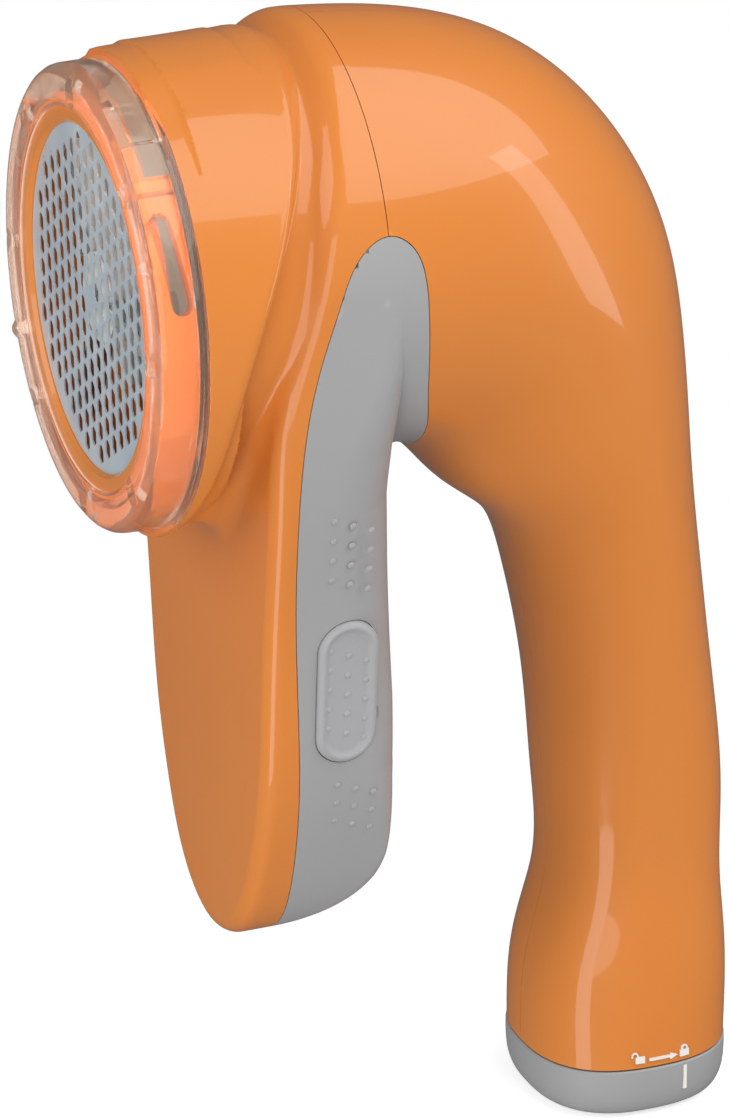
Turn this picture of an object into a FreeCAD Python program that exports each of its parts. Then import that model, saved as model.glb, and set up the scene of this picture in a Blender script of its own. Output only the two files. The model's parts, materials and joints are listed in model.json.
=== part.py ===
import FreeCAD, Part
import math
import os
from FreeCAD import Vector

# A battery fabric shaver with a hooked handle, in millimetres.
# The origin is the centre of the battery cap's flat foot, +Z runs up the handle,
# the cutting head faces -Y, and X = 0 is the mirror plane (+X is the object's left side).

# ---- Driving dimensions -----------------------------------------------------------------
HEAD_Z = 157.5              # cutting axis above the foot
GUARD_FRONT_Y = -95.3       # front face of the depth guard, at its lowest setting
GUARD_LENGTH = 8.6
GUARD_REAR_Y = GUARD_FRONT_Y + GUARD_LENGTH
SEAM_Y = -55.5              # plane where the front shell meets the rear shells
WALL = 2.2                  # moulded wall of the casing
SEAM_GAP = 0.15             # visible line between two mouldings
RUN_GAP = 0.04              # radial clearance of a running fit

DRUM_FRONT_R = 38.5         # front rim of the drum that carries the guard
DRUM_REAR_R = 41.1
DRUM_REAR_Y = -60.0
NECK_R = 36.3               # tube that the guard slides on
NECK_BORE_R = 33.9
NECK_FRONT_Y = -93.4

HOOD_R = 36.3               # round top of the hood behind the drum
HOOD_Z = HEAD_Z + 6.6
CORE_R = 34.0               # waist between the drum and the hood
CORE_Z = HOOD_Z - 0.8
LEG_FRONT_Y = -75.4         # flat front panel of the leg
LEG_REAR_Y = -49.6
LEG_TIP_Z = 43.0
LEG_SIDE = [(34.3, 130), (29.7, 102), (27.0, 79), (21.1, 61), (13.5, 48.6)]   # half width at height

GUARD_TURN = 20.0           # degrees from the lowest to the highest setting
GUARD_LIFT = 1.5            # forward travel of the guard over that turn
PEG_ANGLES = (15, 135, 255)
PEG_R = 1.5
PEG_Y = GUARD_FRONT_Y + 5.5

FOIL_R = 30.0
FOIL_SHOWN_R = 28.4
FOIL_FRONT_Y = GUARD_FRONT_Y + 2.2
FOIL_THICKNESS = 0.25
HOLE_PITCH = 3.9
HOLE_R = 1.6                # corner radius of a hexagonal hole

SHAFT_R = 1.0
MOTOR_R = 12.2
MOTOR_FRONT_Y = -79.0
MOTOR_REAR_Y = -51.0
BULKHEAD_Y = -81.2
BULKHEAD_THICKNESS = 2.1

CELL_R = 7.25               # AA cell
CELL_LENGTH = 50.5
CELL_X = 7.35
CELL_BOTTOM_Z = 9.2
CELL_TOP_Z = CELL_BOTTOM_Z + CELL_LENGTH

CAP_TOP_Z = 10.0
CAP_HALF_X = 18.65
CAP_HALF_Y = 18.06
CAP_ROUNDNESS = 2.5
CAP_BORE_R = 16.1
NECK_TUBE_R = 15.9

# Sections of the hooked tube, from the seam round to the battery cap:
# y, z, lean of the centre line below horizontal, half depth, half width, roundness (2 is an ellipse).
TUBE = [
    (SEAM_Y, HOOD_Z, 0, HOOD_R, HOOD_R, 2.0),
    (-45.3, 163.4, 8, 35.9, 36.0, 2.0),
    (-35.4, 160.8, 22, 35.3, 35.0, 2.0),
    (-25.9, 154.3, 37, 32.8, 33.0, 2.0),
    (-18.1, 144.1, 50, 28.9, 30.5, 2.0),
    (-12.6, 130.5, 59, 24.1, 28.0, 2.0),
    (-7.4, 116.8, 70, 18.1, 25.5, 2.0),
    (-3.5, 99.3, 81, 15.4, 23.0, 2.1),
    (-0.3, 78.8, 87, 15.1, 20.0, 2.2),
    (1.7, 57.6, 90, 15.6, 17.5, 2.3),
    (1.8, 40.0, 90, 15.6, 16.8, 2.4),
    (1.2, 33.5, 90, 16.7, 17.2, 2.45),
    (0.6, 27.0, 90, 17.7, 17.7, 2.5),
    (0.0, CAP_TOP_Z, 90, CAP_HALF_Y, CAP_HALF_X, CAP_ROUNDNESS),
]

# Side views (y, z) of the lines that divide the casing.
CATCHER_FRONT = [(-54.6, 173.3), (-60.9, 170.4), (-64.3, 163.0), (-66.9, 155.5), (-69.1, 147.0),
                 (-70.8, 128.5), (-69.7, 95.0), (-68.4, 67.0), (-67.4, 42.0)]
CATCHER_REAR = [(-54.6, 173.3), (-51.6, 171.2), (-49.8, 166.7), (-49.2, 160.8), (-48.6, 153.6),
                (-46.9, 143.4), (-44.3, 135.5), (-42.0, 126.0)]
CATCHER_BOTTOM = [(-67.4, 42.0), (-60.0, 46.6), (-53.2, 53.5), (LEG_REAR_Y, 64.0)]
DRUM_BACK = [(-59.5, 206.0), (-66.5, 188.3), (-73.0, 172.5), (-80.0, 154.0), (-83.3, 135.0), (-84.6, 112.0)]
HOOD_FRONT = [(-59.0, 203.0), (-62.5, 189.0), (-66.0, 177.0), (-71.1, 157.0), (-75.0, 146.0)]

# Lint catcher and its squeeze pads
CATCHER_WALL = 1.9
WALL_TOP_Z = 143.0          # top of the catcher's rear wall, under the motor
PAD_Y, PAD_Z = -61.2, 95.2
PAD_HALF_Y, PAD_HALF_Z = 5.4, 13.0

# Screws through the two rear shells: y, z
SCREW_POINTS = [(-38.0, 186.0), (-8.0, 128.0), (1.5, 72.0)]

# Slide switch in the upper rear of the hook
SWITCH_Z = 153.0
SWITCH_Y = 6.4
SWITCH_LEAN = 11.5          # degrees that the wall leans at the switch
SWITCH_TRAVEL = 4.0

# Battery sleeve, cap and seal
SLEEVE_HALF_X, SLEEVE_HALF_Y = 15.25, 8.05
SLEEVE_TOP_Z = CELL_TOP_Z + 6.0
COLLAR_TOP_Z = 13.9
CAP_FLOOR = 2.4
CONTACT_ROOM_R = 13.3       # round room in the sleeve's foot where the cap's contact turns
CAP_TURN = 35.0             # degrees from locked to open
CAP_DROP = 1.2              # fall of the cap over that turn
SEAL_R = 16.85
SEAL_Z, SEAL_HEIGHT = 8.8, 0.9

# ---- Shape helpers ----------------------------------------------------------------------
def spline(points, start=None, end=None):
    """A smooth edge through points."""
    curve = Part.BSplineCurve()
    if start is None:
        curve.interpolate(points)
    else:
        curve.interpolate(Points=points, InitialTangent=start, FinalTangent=end)
    return curve.toShape()


def side_points(pairs, x=0.0):
    return [Vector(x, y, z) for y, z in pairs]


def side_prism(edges_at, half_width=60.0):
    """A prism across X. edges_at(x) gives the closed outline's edges in the plane at x."""
    wire = Part.Wire(Part.__sortEdges__(edges_at(-half_width)))
    return Part.Face(wire).extrude(Vector(2 * half_width, 0, 0))


def region_behind(pairs, back_y, shift=0.0):
    """Everything between a side-view curve (moved by shift along Y) and the plane y = back_y."""
    moved = [(y + shift, z) for y, z in pairs]

    def edges(x):
        points = side_points(moved, x)
        far_top = Vector(x, back_y, moved[0][1])
        far_bottom = Vector(x, back_y, moved[-1][1])
        return [spline(points), Part.makeLine(points[-1], far_bottom),
                Part.makeLine(far_bottom, far_top), Part.makeLine(far_top, points[0])]

    return side_prism(edges)


def turned(profile):
    """A solid turned about the cutting axis from (radius, y) corners."""
    points = [Vector(r, y, HEAD_Z) for r, y in profile]
    face = Part.Face(Part.makePolygon(points + [points[0]]))
    return face.revolve(Vector(0, 0, HEAD_Z), Vector(0, 1, 0), 360)


def rod_y(radius, y0, y1, x=0.0, z=HEAD_Z):
    return Part.makeCylinder(radius, y1 - y0, Vector(x, y0, z), Vector(0, 1, 0))


def ring_y(outer, inner, y0, y1, x=0.0, z=HEAD_Z):
    return rod_y(outer, y0, y1, x, z).cut(rod_y(inner, y0 - 1, y1 + 1, x, z))


def block(x0, x1, y0, y1, z0, z1):
    return Part.makeBox(x1 - x0, y1 - y0, z1 - z0, Vector(x0, y0, z0))


def spun(shape, degrees):
    """A copy turned about the cutting axis; positive carries +X towards +Z."""
    copy = shape.copy()
    copy.rotate(Vector(0, 0, HEAD_Z), Vector(0, -1, 0), degrees)
    return copy


def fuse_all(shapes):
    whole = shapes[0]
    for shape in shapes[1:]:
        whole = whole.fuse(shape)
    return whole.removeSplitter()


def mirrored(shape):
    return shape.mirror(Vector(0, 0, 0), Vector(1, 0, 0))


def wire_tube(points, radius):
    """A round wire of one radius along a smooth path."""
    path = spline([Vector(*p) for p in points])
    first, tangent = path.valueAt(path.FirstParameter), path.tangentAt(path.FirstParameter)
    circle = Part.Wire(Part.makeCircle(radius, first, tangent))
    return Part.Wire(path).makePipeShell([circle], True, True)


def coil(radius, wire_r, pitch, height, start, axis):
    """A helical spring standing on start along axis, ruled between round sections of its wire."""
    sections_per_turn = 16
    count = round(height / pitch * sections_per_turn)

    def section(i):
        angle = 2 * math.pi * i / sections_per_turn
        centre = Vector(radius * math.cos(angle), radius * math.sin(angle), height * i / count)
        run = 2 * math.pi * radius
        circle = Part.Circle()
        circle.Center, circle.Radius = centre, wire_r
        circle.Axis = Vector(-run * math.sin(angle), run * math.cos(angle), pitch)
        circle.XAxis = Vector(math.cos(angle), math.sin(angle), 0)
        return Part.Wire(circle.toShape())

    faces = []
    for i in range(count):
        faces += Part.makeLoft([section(i), section(i + 1)], False, True).Faces
    faces += [Part.Face(section(0)), Part.Face(section(count))]
    shell = Part.makeShell(faces)
    shell.sewShape()
    body = Part.Solid(shell)
    body.Placement = FreeCAD.Placement(start, FreeCAD.Rotation(Vector(0, 0, 1), axis))
    return body


# ---- Casing bodies ----------------------------------------------------------------------
def superellipse_wire(station, inset):
    y, z, lean, depth, width, roundness = station
    tilt = math.radians(-lean)
    up = Vector(0, -math.sin(tilt), math.cos(tilt))
    across = Vector(1, 0, 0)
    centre = Vector(0, y, z)
    points = []
    count = 28
    for i in range(count):
        angle = 2 * math.pi * i / count
        c, s = math.cos(angle), math.sin(angle)
        term = abs(c / (width - inset)) ** roundness + abs(s / (depth - inset)) ** roundness
        reach = term ** (-1 / roundness)
        points.append(centre + across * (reach * c) + up * (reach * s))
    curve = Part.BSplineCurve()
    curve.interpolate(Points=points, PeriodicFlag=True)
    return Part.Wire(curve.toShape())


def tube_solid(inset):
    return Part.makeLoft([superellipse_wire(s, inset) for s in TUBE], True, False)


def keyhole_wire(y, inset):
    """Front view of the hood and leg: a round top that runs down into a long rounded tip."""
    top = Vector(HOOD_R - inset, y, HOOD_Z)
    apex = Vector(0, y, HOOD_Z + HOOD_R - inset)
    tip = Vector(0, y, LEG_TIP_Z + inset)
    base = [(HOOD_R, HOOD_Z)] + LEG_SIDE + [(0.0, LEG_TIP_Z)]
    side = [top]
    for before, here, after in zip(base, base[1:], base[2:]):
        dx, dz = after[0] - before[0], after[1] - before[1]
        length = math.hypot(dx, dz)
        side.append(Vector(here[0] + inset * dz / length, y, here[1] - inset * dx / length))
    side.append(tip)
    right = spline(side, Vector(0, 0, -1), Vector(-1, 0, 0))
    left = mirrored(right)
    arc = Part.Arc(Vector(-top.x, y, HOOD_Z), apex, top).toShape()
    return Part.Wire(Part.__sortEdges__([right, left, arc]))


def keyhole_prism(y0, y1, inset):
    return Part.Face(keyhole_wire(y0, inset)).extrude(Vector(0, y1 - y0, 0))


def keyhole_layers(layers):
    """A solid through keyhole outlines, one for each (y, inset)."""
    return Part.makeLoft([keyhole_wire(y, inset) for y, inset in layers], True, False)


def front_shell_outer():
    cone = turned([(0, GUARD_REAR_Y + 0.1), (DRUM_FRONT_R, GUARD_REAR_Y + 0.1), (DRUM_REAR_R, DRUM_REAR_Y),
                   (0, DRUM_REAR_Y)])
    drum = cone.cut(region_behind(DRUM_BACK, 0))
    neck = rod_y(NECK_R, NECK_FRONT_Y, -84)
    core = rod_y(CORE_R, -82, SEAM_Y - 1, z=CORE_Z)
    edge_start = LEG_FRONT_Y + 4.4
    rounded_front = [(edge_start, 0), (LEG_FRONT_Y + 2.0, 0.3), (LEG_FRONT_Y + 0.6, 1.2), (LEG_FRONT_Y, 2.8)]
    hood = keyhole_prism(edge_start, SEAM_Y - SEAM_GAP / 2, 0).fuse(keyhole_layers(rounded_front))
    hood = hood.cut(side_prism(lambda x: front_of_hood_edges(x, 0)))
    return drum.fuse(neck).fuse(core).fuse(hood)


def front_of_hood_edges(x, shift):
    """Outline of the space ahead of the hood's leaning front."""
    moved = [(y + shift, z) for y, z in HOOD_FRONT]
    points = side_points(moved, x)
    corner_low = Vector(x, -100, moved[-1][1])
    corner_high = Vector(x, -100, moved[0][1])
    return [spline(points), Part.makeLine(points[-1], corner_low),
            Part.makeLine(corner_low, corner_high), Part.makeLine(corner_high, points[0])]


def front_shell_inner():
    bore = turned([(0, -99), (NECK_BORE_R, -99), (NECK_BORE_R, -85.0), (DRUM_FRONT_R - WALL, -83.0),
                   (DRUM_REAR_R - WALL, DRUM_REAR_Y), (0, DRUM_REAR_Y)])
    bore = bore.cut(region_behind(DRUM_BACK, 0, -WALL))
    waist = rod_y(CORE_R - WALL, -92, -50, z=CORE_Z)
    leg = keyhole_prism(LEG_FRONT_Y + WALL, -50, WALL)
    leg = leg.cut(side_prism(lambda x: front_of_hood_edges(x, WALL)))
    return fuse_all([bore, waist, leg])


def guard_slot(angle):
    """A helical slot in the neck: the peg runs forward along it as the guard turns."""
    steps = 8
    pieces = []
    for i in range(steps + 1):
        share = i / steps
        y = PEG_Y - GUARD_LIFT * share
        hole = Part.makeCylinder(PEG_R + 0.25, 8, Vector(31, y, HEAD_Z), Vector(1, 0, 0))
        pieces.append(spun(hole, angle + GUARD_TURN * share))
        if i < steps:
            step_z = math.radians(GUARD_TURN / steps) * NECK_R
            bridge = block(31, 39, y - PEG_R - 0.25 - GUARD_LIFT / steps, y + PEG_R + 0.25,
                           HEAD_Z, HEAD_Z + step_z)
            pieces.append(spun(bridge, angle + GUARD_TURN * share))
    return pieces


def catcher_gap_region():
    """The space of the lint catcher in side view, with the visible line's gap all round."""
    half = SEAM_GAP / 2

    def edges(x):
        front = side_points([(y - half, z + half) for y, z in CATCHER_FRONT], x)
        rear = side_points([(y + half, z + half) for y, z in CATCHER_REAR], x)
        rear[0] = front[0]
        low_front = Vector(x, front[-1].y, 30)
        low_rear = Vector(x, rear[-1].y, 30)
        return [spline(front), spline(rear), Part.makeLine(front[-1], low_front),
                Part.makeLine(low_front, low_rear), Part.makeLine(low_rear, rear[-1])]

    return side_prism(edges)


def catcher_side_region():
    """The lint catcher's own outline in side view."""
    half = SEAM_GAP / 2

    def edges(x):
        front = side_points([(y + half, z - half) for y, z in CATCHER_FRONT], x)
        rear = side_points([(y - half, z - half) for y, z in CATCHER_REAR], x)
        rear[0] = front[0]
        bottom = side_points([(y + half, z - half) for y, z in CATCHER_BOTTOM], x)
        bottom[0] = front[-1]
        up = Vector(x, bottom[-1].y, 124.0)
        shelf = Vector(x, rear[-1].y, 124.0)
        return [spline(front), spline(rear), spline(bottom), Part.makeLine(bottom[-1], up),
                Part.makeLine(up, shelf), Part.makeLine(shelf, rear[-1])]

    return side_prism(edges)


# ---- Head pieces ------------------------------------------------------------------------
def make_front_shell():
    shell = front_shell_outer().cut(front_shell_inner())
    shell = shell.cut(catcher_gap_region())
    groove = ring_y(NECK_BORE_R + 0.8, NECK_BORE_R - 1, FOIL_FRONT_Y + 0.6, FOIL_FRONT_Y + 1.8)
    shell = shell.cut(groove)
    for angle in PEG_ANGLES:
        for piece in guard_slot(angle):
            shell = shell.cut(piece)
    return shell


def make_depth_guard():
    front, rear = GUARD_FRONT_Y, GUARD_REAR_Y
    body = turned([(37.9, front + 2.2), (36.9, front + 0.7), (35.3, front), (32.2, front), (31.2, front + 0.5),
                   (31.0, front + 1.2), (NECK_R + 0.12, front + 1.5),
                   (NECK_R + 0.12, rear - 1.35), (37.75, rear - 1.35), (37.75, rear), (38.6, rear)])
    for angle in PEG_ANGLES:
        peg = Part.makeCylinder(PEG_R, 2.4, Vector(34.7, PEG_Y, HEAD_Z), Vector(1, 0, 0))
        body = body.fuse(spun(peg, angle))
    return body.removeSplitter()


def make_guard_friction_ring():
    centre_r = NECK_R + 0.05 + 0.6
    circle = Part.makeCircle(0.6, Vector(centre_r, GUARD_REAR_Y - 0.65, HEAD_Z), Vector(0, 0, 1))
    return Part.Face(Part.Wire(circle)).revolve(Vector(0, 0, HEAD_Z), Vector(0, 1, 0), 360)


def make_foil_ring():
    front = FOIL_FRONT_Y
    ring = turned([(FOIL_SHOWN_R, front - 0.25), (FOIL_SHOWN_R + 0.6, front - 0.85), (32.4, front - 0.85),
                   (33.4, front - 0.1), (33.7, front + 2.4), (32.2, front + 2.4), (FOIL_R + 0.1, front + 0.6),
                   (FOIL_R + 0.1, front), (FOIL_SHOWN_R, front)])
    for angle in (0, 120, 240):
        lug = block(33.0, 34.4, front + 0.8, front + 1.6, HEAD_Z - 4, HEAD_Z + 4)
        lug = lug.common(rod_y(NECK_BORE_R + 0.65, front, front + 3))
        ring = ring.fuse(spun(lug, angle + 45))
    return ring.removeSplitter()


def make_foil():
    front = FOIL_FRONT_Y
    disc = rod_y(FOIL_R, front + 0.02, front + 0.02 + FOIL_THICKNESS)
    corners = [Vector(HOLE_R * 0.82 * math.sin(math.radians(60 * k)), front - 1,
                      HOLE_R * 1.12 * math.cos(math.radians(60 * k))) for k in range(6)]
    hexagon = Part.Face(Part.makePolygon(corners + [corners[0]])).extrude(Vector(0, 3, 0))
    holes = []
    reach = FOIL_SHOWN_R - 1.4
    column_step = HOLE_PITCH * math.sqrt(3) / 2
    columns = int(reach / column_step) + 1
    for column in range(-columns, columns + 1):
        for row in range(-8, 9):
            x = column * column_step
            z = (row + 0.5 * (column % 2)) * HOLE_PITCH
            if 2.6 < math.hypot(x, z) < reach - HOLE_R * 0.4:
                hole = hexagon.copy()
                hole.translate(Vector(x, 0, HEAD_Z + z))
                holes.append(hole)
    return disc.cut(Part.makeCompound(holes))


def make_blade_hub():
    hub = rod_y(7.5, -91.6, -86.2)
    for k in range(3):
        vane = block(6.5, 26.0, -91.0, -87.0, HEAD_Z - 0.9, HEAD_Z + 0.9)
        hub = hub.fuse(spun(vane, 120 * k))
    hub = hub.cut(rod_y(SHAFT_R + RUN_GAP, -95, -80))
    return hub.cut(ring_y(4.4, 2.4, -88.4, -86.0)).removeSplitter()


def make_blades():
    blades = []
    for k in range(3):
        blade = block(7.6, 27.2, FOIL_FRONT_Y + 0.45, -88.0, HEAD_Z + 0.92, HEAD_Z + 1.6)
        blades.append(spun(blade, 120 * k))
    return Part.makeCompound(blades)


def make_blade_spring():
    return coil(3.4, 0.3, 1.5, 5.6, Vector(0, -82.2, HEAD_Z), Vector(0, -1, 0))


# ---- Motor ------------------------------------------------------------------------------
def make_motor_bulkhead():
    plate = rod_y(CORE_R - WALL - 0.05, BULKHEAD_Y, BULKHEAD_Y + BULKHEAD_THICKNESS, z=CORE_Z)
    plate = plate.cut(rod_y(4.6, -90, -70))
    for x in (-8, 8):
        plate = plate.cut(rod_y(1.35, -90, -70, x=x))
    mouth = block(-16, 16, -90, -70, CORE_Z - 40, HEAD_Z - 15)
    rim = ring_y(15.0, MOTOR_R + 0.05, BULKHEAD_Y + BULKHEAD_THICKNESS, BULKHEAD_Y + 9)
    return plate.cut(mouth).fuse(rim).removeSplitter()


def make_mount_screws():
    screws = []
    for x in (-8, 8):
        head = rod_y(2.2, BULKHEAD_Y - 1.6, BULKHEAD_Y, x=x)
        shank = rod_y(1.2, BULKHEAD_Y - 0.5, MOTOR_FRONT_Y + 2.5, x=x)
        slot = block(x - 2.5, x + 2.5, BULKHEAD_Y - 2, BULKHEAD_Y - 1.0, HEAD_Z - 0.3, HEAD_Z + 0.3)
        screws.append(head.fuse(shank).cut(slot).removeSplitter())
    return Part.makeCompound(screws)


def make_motor_can():
    can = ring_y(MOTOR_R, MOTOR_R - 0.8, MOTOR_FRONT_Y, MOTOR_REAR_Y)
    face = ring_y(MOTOR_R - 0.4, 3.0, MOTOR_FRONT_Y, MOTOR_FRONT_Y + 0.8)
    nose = ring_y(4.2, 3.0, MOTOR_FRONT_Y - 1.6, MOTOR_FRONT_Y + 0.5)
    can = can.fuse(face).fuse(nose)
    for x in (-8, 8):
        can = can.cut(rod_y(1.22, -90, -70, x=x))
    return can.removeSplitter()


def make_motor_end_cap():
    cap = rod_y(MOTOR_R, MOTOR_REAR_Y, MOTOR_REAR_Y + 2)
    boss = rod_y(4.2, MOTOR_REAR_Y + 1, MOTOR_REAR_Y + 3.6)
    cap = cap.fuse(boss).cut(rod_y(3.0, MOTOR_REAR_Y - 1, MOTOR_REAR_Y + 5))
    for x in (-7, 7):
        cap = cap.cut(block(x - 1.2, x + 1.2, MOTOR_REAR_Y - 1, MOTOR_REAR_Y + 4, HEAD_Z - 0.3, HEAD_Z + 0.3))
    return cap.removeSplitter()


def make_motor_terminals():
    blades = [block(x - 1.15, x + 1.15, MOTOR_REAR_Y - 0.5, MOTOR_REAR_Y + 4.5, HEAD_Z - 0.25, HEAD_Z + 0.25)
              for x in (-7, 7)]
    return Part.makeCompound(blades)


def make_motor_magnets():
    ring = ring_y(MOTOR_R - 0.82, 9.3, MOTOR_FRONT_Y + 4, MOTOR_REAR_Y - 5)
    gap = block(-30, 30, -90, -40, HEAD_Z - 4.5, HEAD_Z + 4.5)
    return ring.cut(gap)


def make_motor_bushes():
    front = ring_y(2.98, SHAFT_R + RUN_GAP, MOTOR_FRONT_Y - 1.6, MOTOR_FRONT_Y + 1.5)
    rear = ring_y(2.98, SHAFT_R + RUN_GAP, MOTOR_REAR_Y + 0.2, MOTOR_REAR_Y + 3.4)
    return Part.makeCompound([front, rear])


def make_motor_armature():
    shaft = rod_y(SHAFT_R, -91.0, MOTOR_REAR_Y + 3.2)
    core = rod_y(8.8, MOTOR_FRONT_Y + 5, MOTOR_REAR_Y - 7)
    for k in range(3):
        slot = block(3.2, 12, -90, -40, HEAD_Z - 0.8, HEAD_Z + 0.8)
        core = core.cut(spun(slot, 120 * k + 30))
    return shaft.fuse(core).removeSplitter()


def make_commutator():
    return ring_y(2.6, SHAFT_R, MOTOR_REAR_Y - 6.2, MOTOR_REAR_Y - 1.2)


def make_motor_brushes():
    brush = block(-1.4, 1.4, MOTOR_REAR_Y - 4.6, MOTOR_REAR_Y - 2.2, HEAD_Z + 2.65, HEAD_Z + 6.5)
    return Part.makeCompound([brush, spun(brush, 180)])


# ---- Lint catcher -----------------------------------------------------------------------
def pad_prism(margin, x0, x1):
    """A tall stadium, pushed along X, where a squeeze pad sits in the catcher's side."""
    r = PAD_HALF_Y + margin
    rise = PAD_HALF_Z - PAD_HALF_Y
    straight = block(x0, x1, PAD_Y - r, PAD_Y + r, PAD_Z - rise, PAD_Z + rise)
    ends = [Part.makeCylinder(r, x1 - x0, Vector(x0, PAD_Y, PAD_Z + s * rise), Vector(1, 0, 0)) for s in (-1, 1)]
    return fuse_all([straight] + ends)


def catcher_leg():
    """The leg part: thin walled, rounded off at the back, open to the front and the top."""
    rear_layers = [(SEAM_Y, 0), (-53.4, 0.5), (-51.3, 1.9), (-50.1, 4.0), (LEG_REAR_Y, 6.6)]
    leg = keyhole_prism(-78, SEAM_Y, 0).fuse(keyhole_layers(rear_layers))
    leg = leg.common(catcher_side_region())
    cavity = keyhole_prism(-90, LEG_REAR_Y - CATCHER_WALL, CATCHER_WALL)
    floor = region_behind([(y - 1.2, z + 2.0) for y, z in CATCHER_BOTTOM], -20)
    return leg.cut(cavity.cut(floor.common(block(-60, 60, -70, -20, 30, 64))))


def catcher_head(tube_outer, tube_inner):
    """The strip of tube wall behind the seam that the catcher carries up into the rear shells' notch."""
    strip = tube_outer.cut(tube_inner).common(block(-60, 60, SEAM_Y, -30, 120, 180))
    return strip.common(catcher_side_region())


def make_catcher_and_pads(tube_outer, tube_inner):
    catcher = catcher_leg().fuse(catcher_head(tube_outer, tube_inner))
    catcher = catcher.cut(block(-30, 30, SEAM_Y + 1, -30, WALL_TOP_Z, 180))
    pads = []
    for side in (1, -1):
        window = pad_prism(0, 15, 45) if side > 0 else mirrored(pad_prism(0, 15, 45))
        slug = pad_prism(-0.12, 15, 45) if side > 0 else mirrored(pad_prism(-0.12, 15, 45))
        pads.append(catcher.common(slug))
        catcher = catcher.cut(window)
    return catcher, pads[0], pads[1]


# ---- Rear shells ------------------------------------------------------------------------
def at_switch(shape):
    """Places a shape modelled about the origin (outward is +Y, up is +Z) on the switch's seat."""
    copy = shape.copy()
    copy.rotate(Vector(0, 0, 0), Vector(1, 0, 0), SWITCH_LEAN)
    copy.translate(Vector(0, SWITCH_Y, SWITCH_Z))
    return copy


def boss(y, z, x0, x1, outer, bore):
    post = Part.makeCylinder(outer, x1 - x0, Vector(x0, y, z), Vector(1, 0, 0))
    return post.cut(Part.makeCylinder(bore, x1 - x0, Vector(x0, y, z), Vector(1, 0, 0)))


def make_rear_shells(tube_outer, tube_mid, tube_inner):
    hollow = tube_outer.cut(tube_inner).cut(catcher_gap_region())
    hollow = hollow.cut(block(-60, 60, SEAM_Y - 1, SEAM_Y + SEAM_GAP / 2, 100, 220))
    seat = at_switch(block(-5.6, 5.6, -1.2, 8, -9.2, 9.2))
    slot = at_switch(block(-2.2, 2.2, -8, 8, -5.2, 5.2))
    hollow = hollow.cut(seat).cut(slot)
    hollow = hollow.cut(stadium(SLEEVE_HALF_X + 0.1, SLEEVE_HALF_Y + 0.1, 8.0, SLEEVE_TOP_Z + 0.2))
    hollow = hollow.cut(Part.makeCylinder(NECK_TUBE_R + 0.1, 10, Vector(0, 0, COLLAR_TOP_Z - 9.8)))
    gap = SEAM_GAP / 2
    lip_depth = 1.2
    lip_space = tube_mid.cut(tube_inner)
    left = hollow.common(block(gap, 60, -90, 60, 0, 220))
    left = left.fuse(hollow.common(lip_space).common(block(-lip_depth, gap, -90, 60, 0, 220)))
    right = hollow.common(block(-60, -gap, -90, 60, 0, 220))
    right = right.cut(tube_mid.common(block(-lip_depth - 0.1, 0, -90, 60, 0, 220)))
    for y, z in SCREW_POINTS:
        inside = tube_inner.common(boss(y, z, 0.05, 40, 3.4, 1.22))
        left = left.fuse(inside)
        left = left.cut(Part.makeCylinder(1.22, 11, Vector(0, y, z), Vector(1, 0, 0)))
        post = boss(y, z, -40, -0.05, 4.2, 1.6).common(tube_outer)
        right = right.fuse(post)
        right = right.cut(Part.makeCylinder(1.6, 60, Vector(-60, y, z), Vector(1, 0, 0)))
        right = right.cut(Part.makeCylinder(2.9, 50, Vector(-8.0, y, z), Vector(-1, 0, 0)))
    return left, right


def make_casing_screws():
    screws = []
    for y, z in SCREW_POINTS:
        head = Part.makeCylinder(2.7, 2.0, Vector(-10.0, y, z), Vector(1, 0, 0))
        shank = Part.makeCylinder(1.2, 17.0, Vector(-8.5, y, z), Vector(1, 0, 0))
        cross = block(-11, -9.0, y - 1.4, y + 1.4, z - 0.35, z + 0.35)
        cross = cross.fuse(block(-11, -9.0, y - 0.35, y + 0.35, z - 1.4, z + 1.4))
        screws.append(head.fuse(shank).cut(cross).removeSplitter())
    return Part.makeCompound(screws)


# ---- Switch -----------------------------------------------------------------------------
def make_switch_knob():
    pad = block(-5.2, 5.2, -1.1, 0.5, -6.8 + 2.0, 6.8 - 2.0)
    for k in (-2.4, 0.0, 2.4):
        pad = pad.fuse(Part.makeCylinder(0.5, 8.4, Vector(-4.2, 0.4, k), Vector(1, 0, 0)))
    stem = block(-1.9, 1.9, -5.2, -1.0, -1.9, 1.9)
    knob = at_switch(pad.fuse(stem).removeSplitter())
    shift = Vector(0, SWITCH_TRAVEL / 2 * math.sin(math.radians(SWITCH_LEAN)),
                   -SWITCH_TRAVEL / 2 * math.cos(math.radians(SWITCH_LEAN)))
    knob.translate(shift)
    return knob


def make_switch_body():
    case = block(-4.5, 4.5, -9.5, -3.6, -8.5, 8.5)
    channel = block(-2.1, 2.1, -5.6, -3.0, -4.4, 4.4)
    return at_switch(case.cut(channel))


def make_switch_contacts():
    pins = [at_switch(block(-0.9, 0.9, -12.5, -9.52, z - 0.25, z + 0.25)) for z in (-5, 0, 5)]
    return Part.makeCompound(pins)


# ---- Battery compartment ----------------------------------------------------------------
def stadium(half_x, half_y, z0, z1):
    """An upright oval tube or plug: two round ends joined by flats, long across X."""
    middle = half_x - half_y
    core = block(-middle, middle, -half_y, half_y, z0, z1)
    ends = [Part.makeCylinder(half_y, z1 - z0, Vector(s * middle, 0, z0)) for s in (-1, 1)]
    return fuse_all([core] + ends)


def bayonet_angles():
    return (0, 180)


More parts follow.
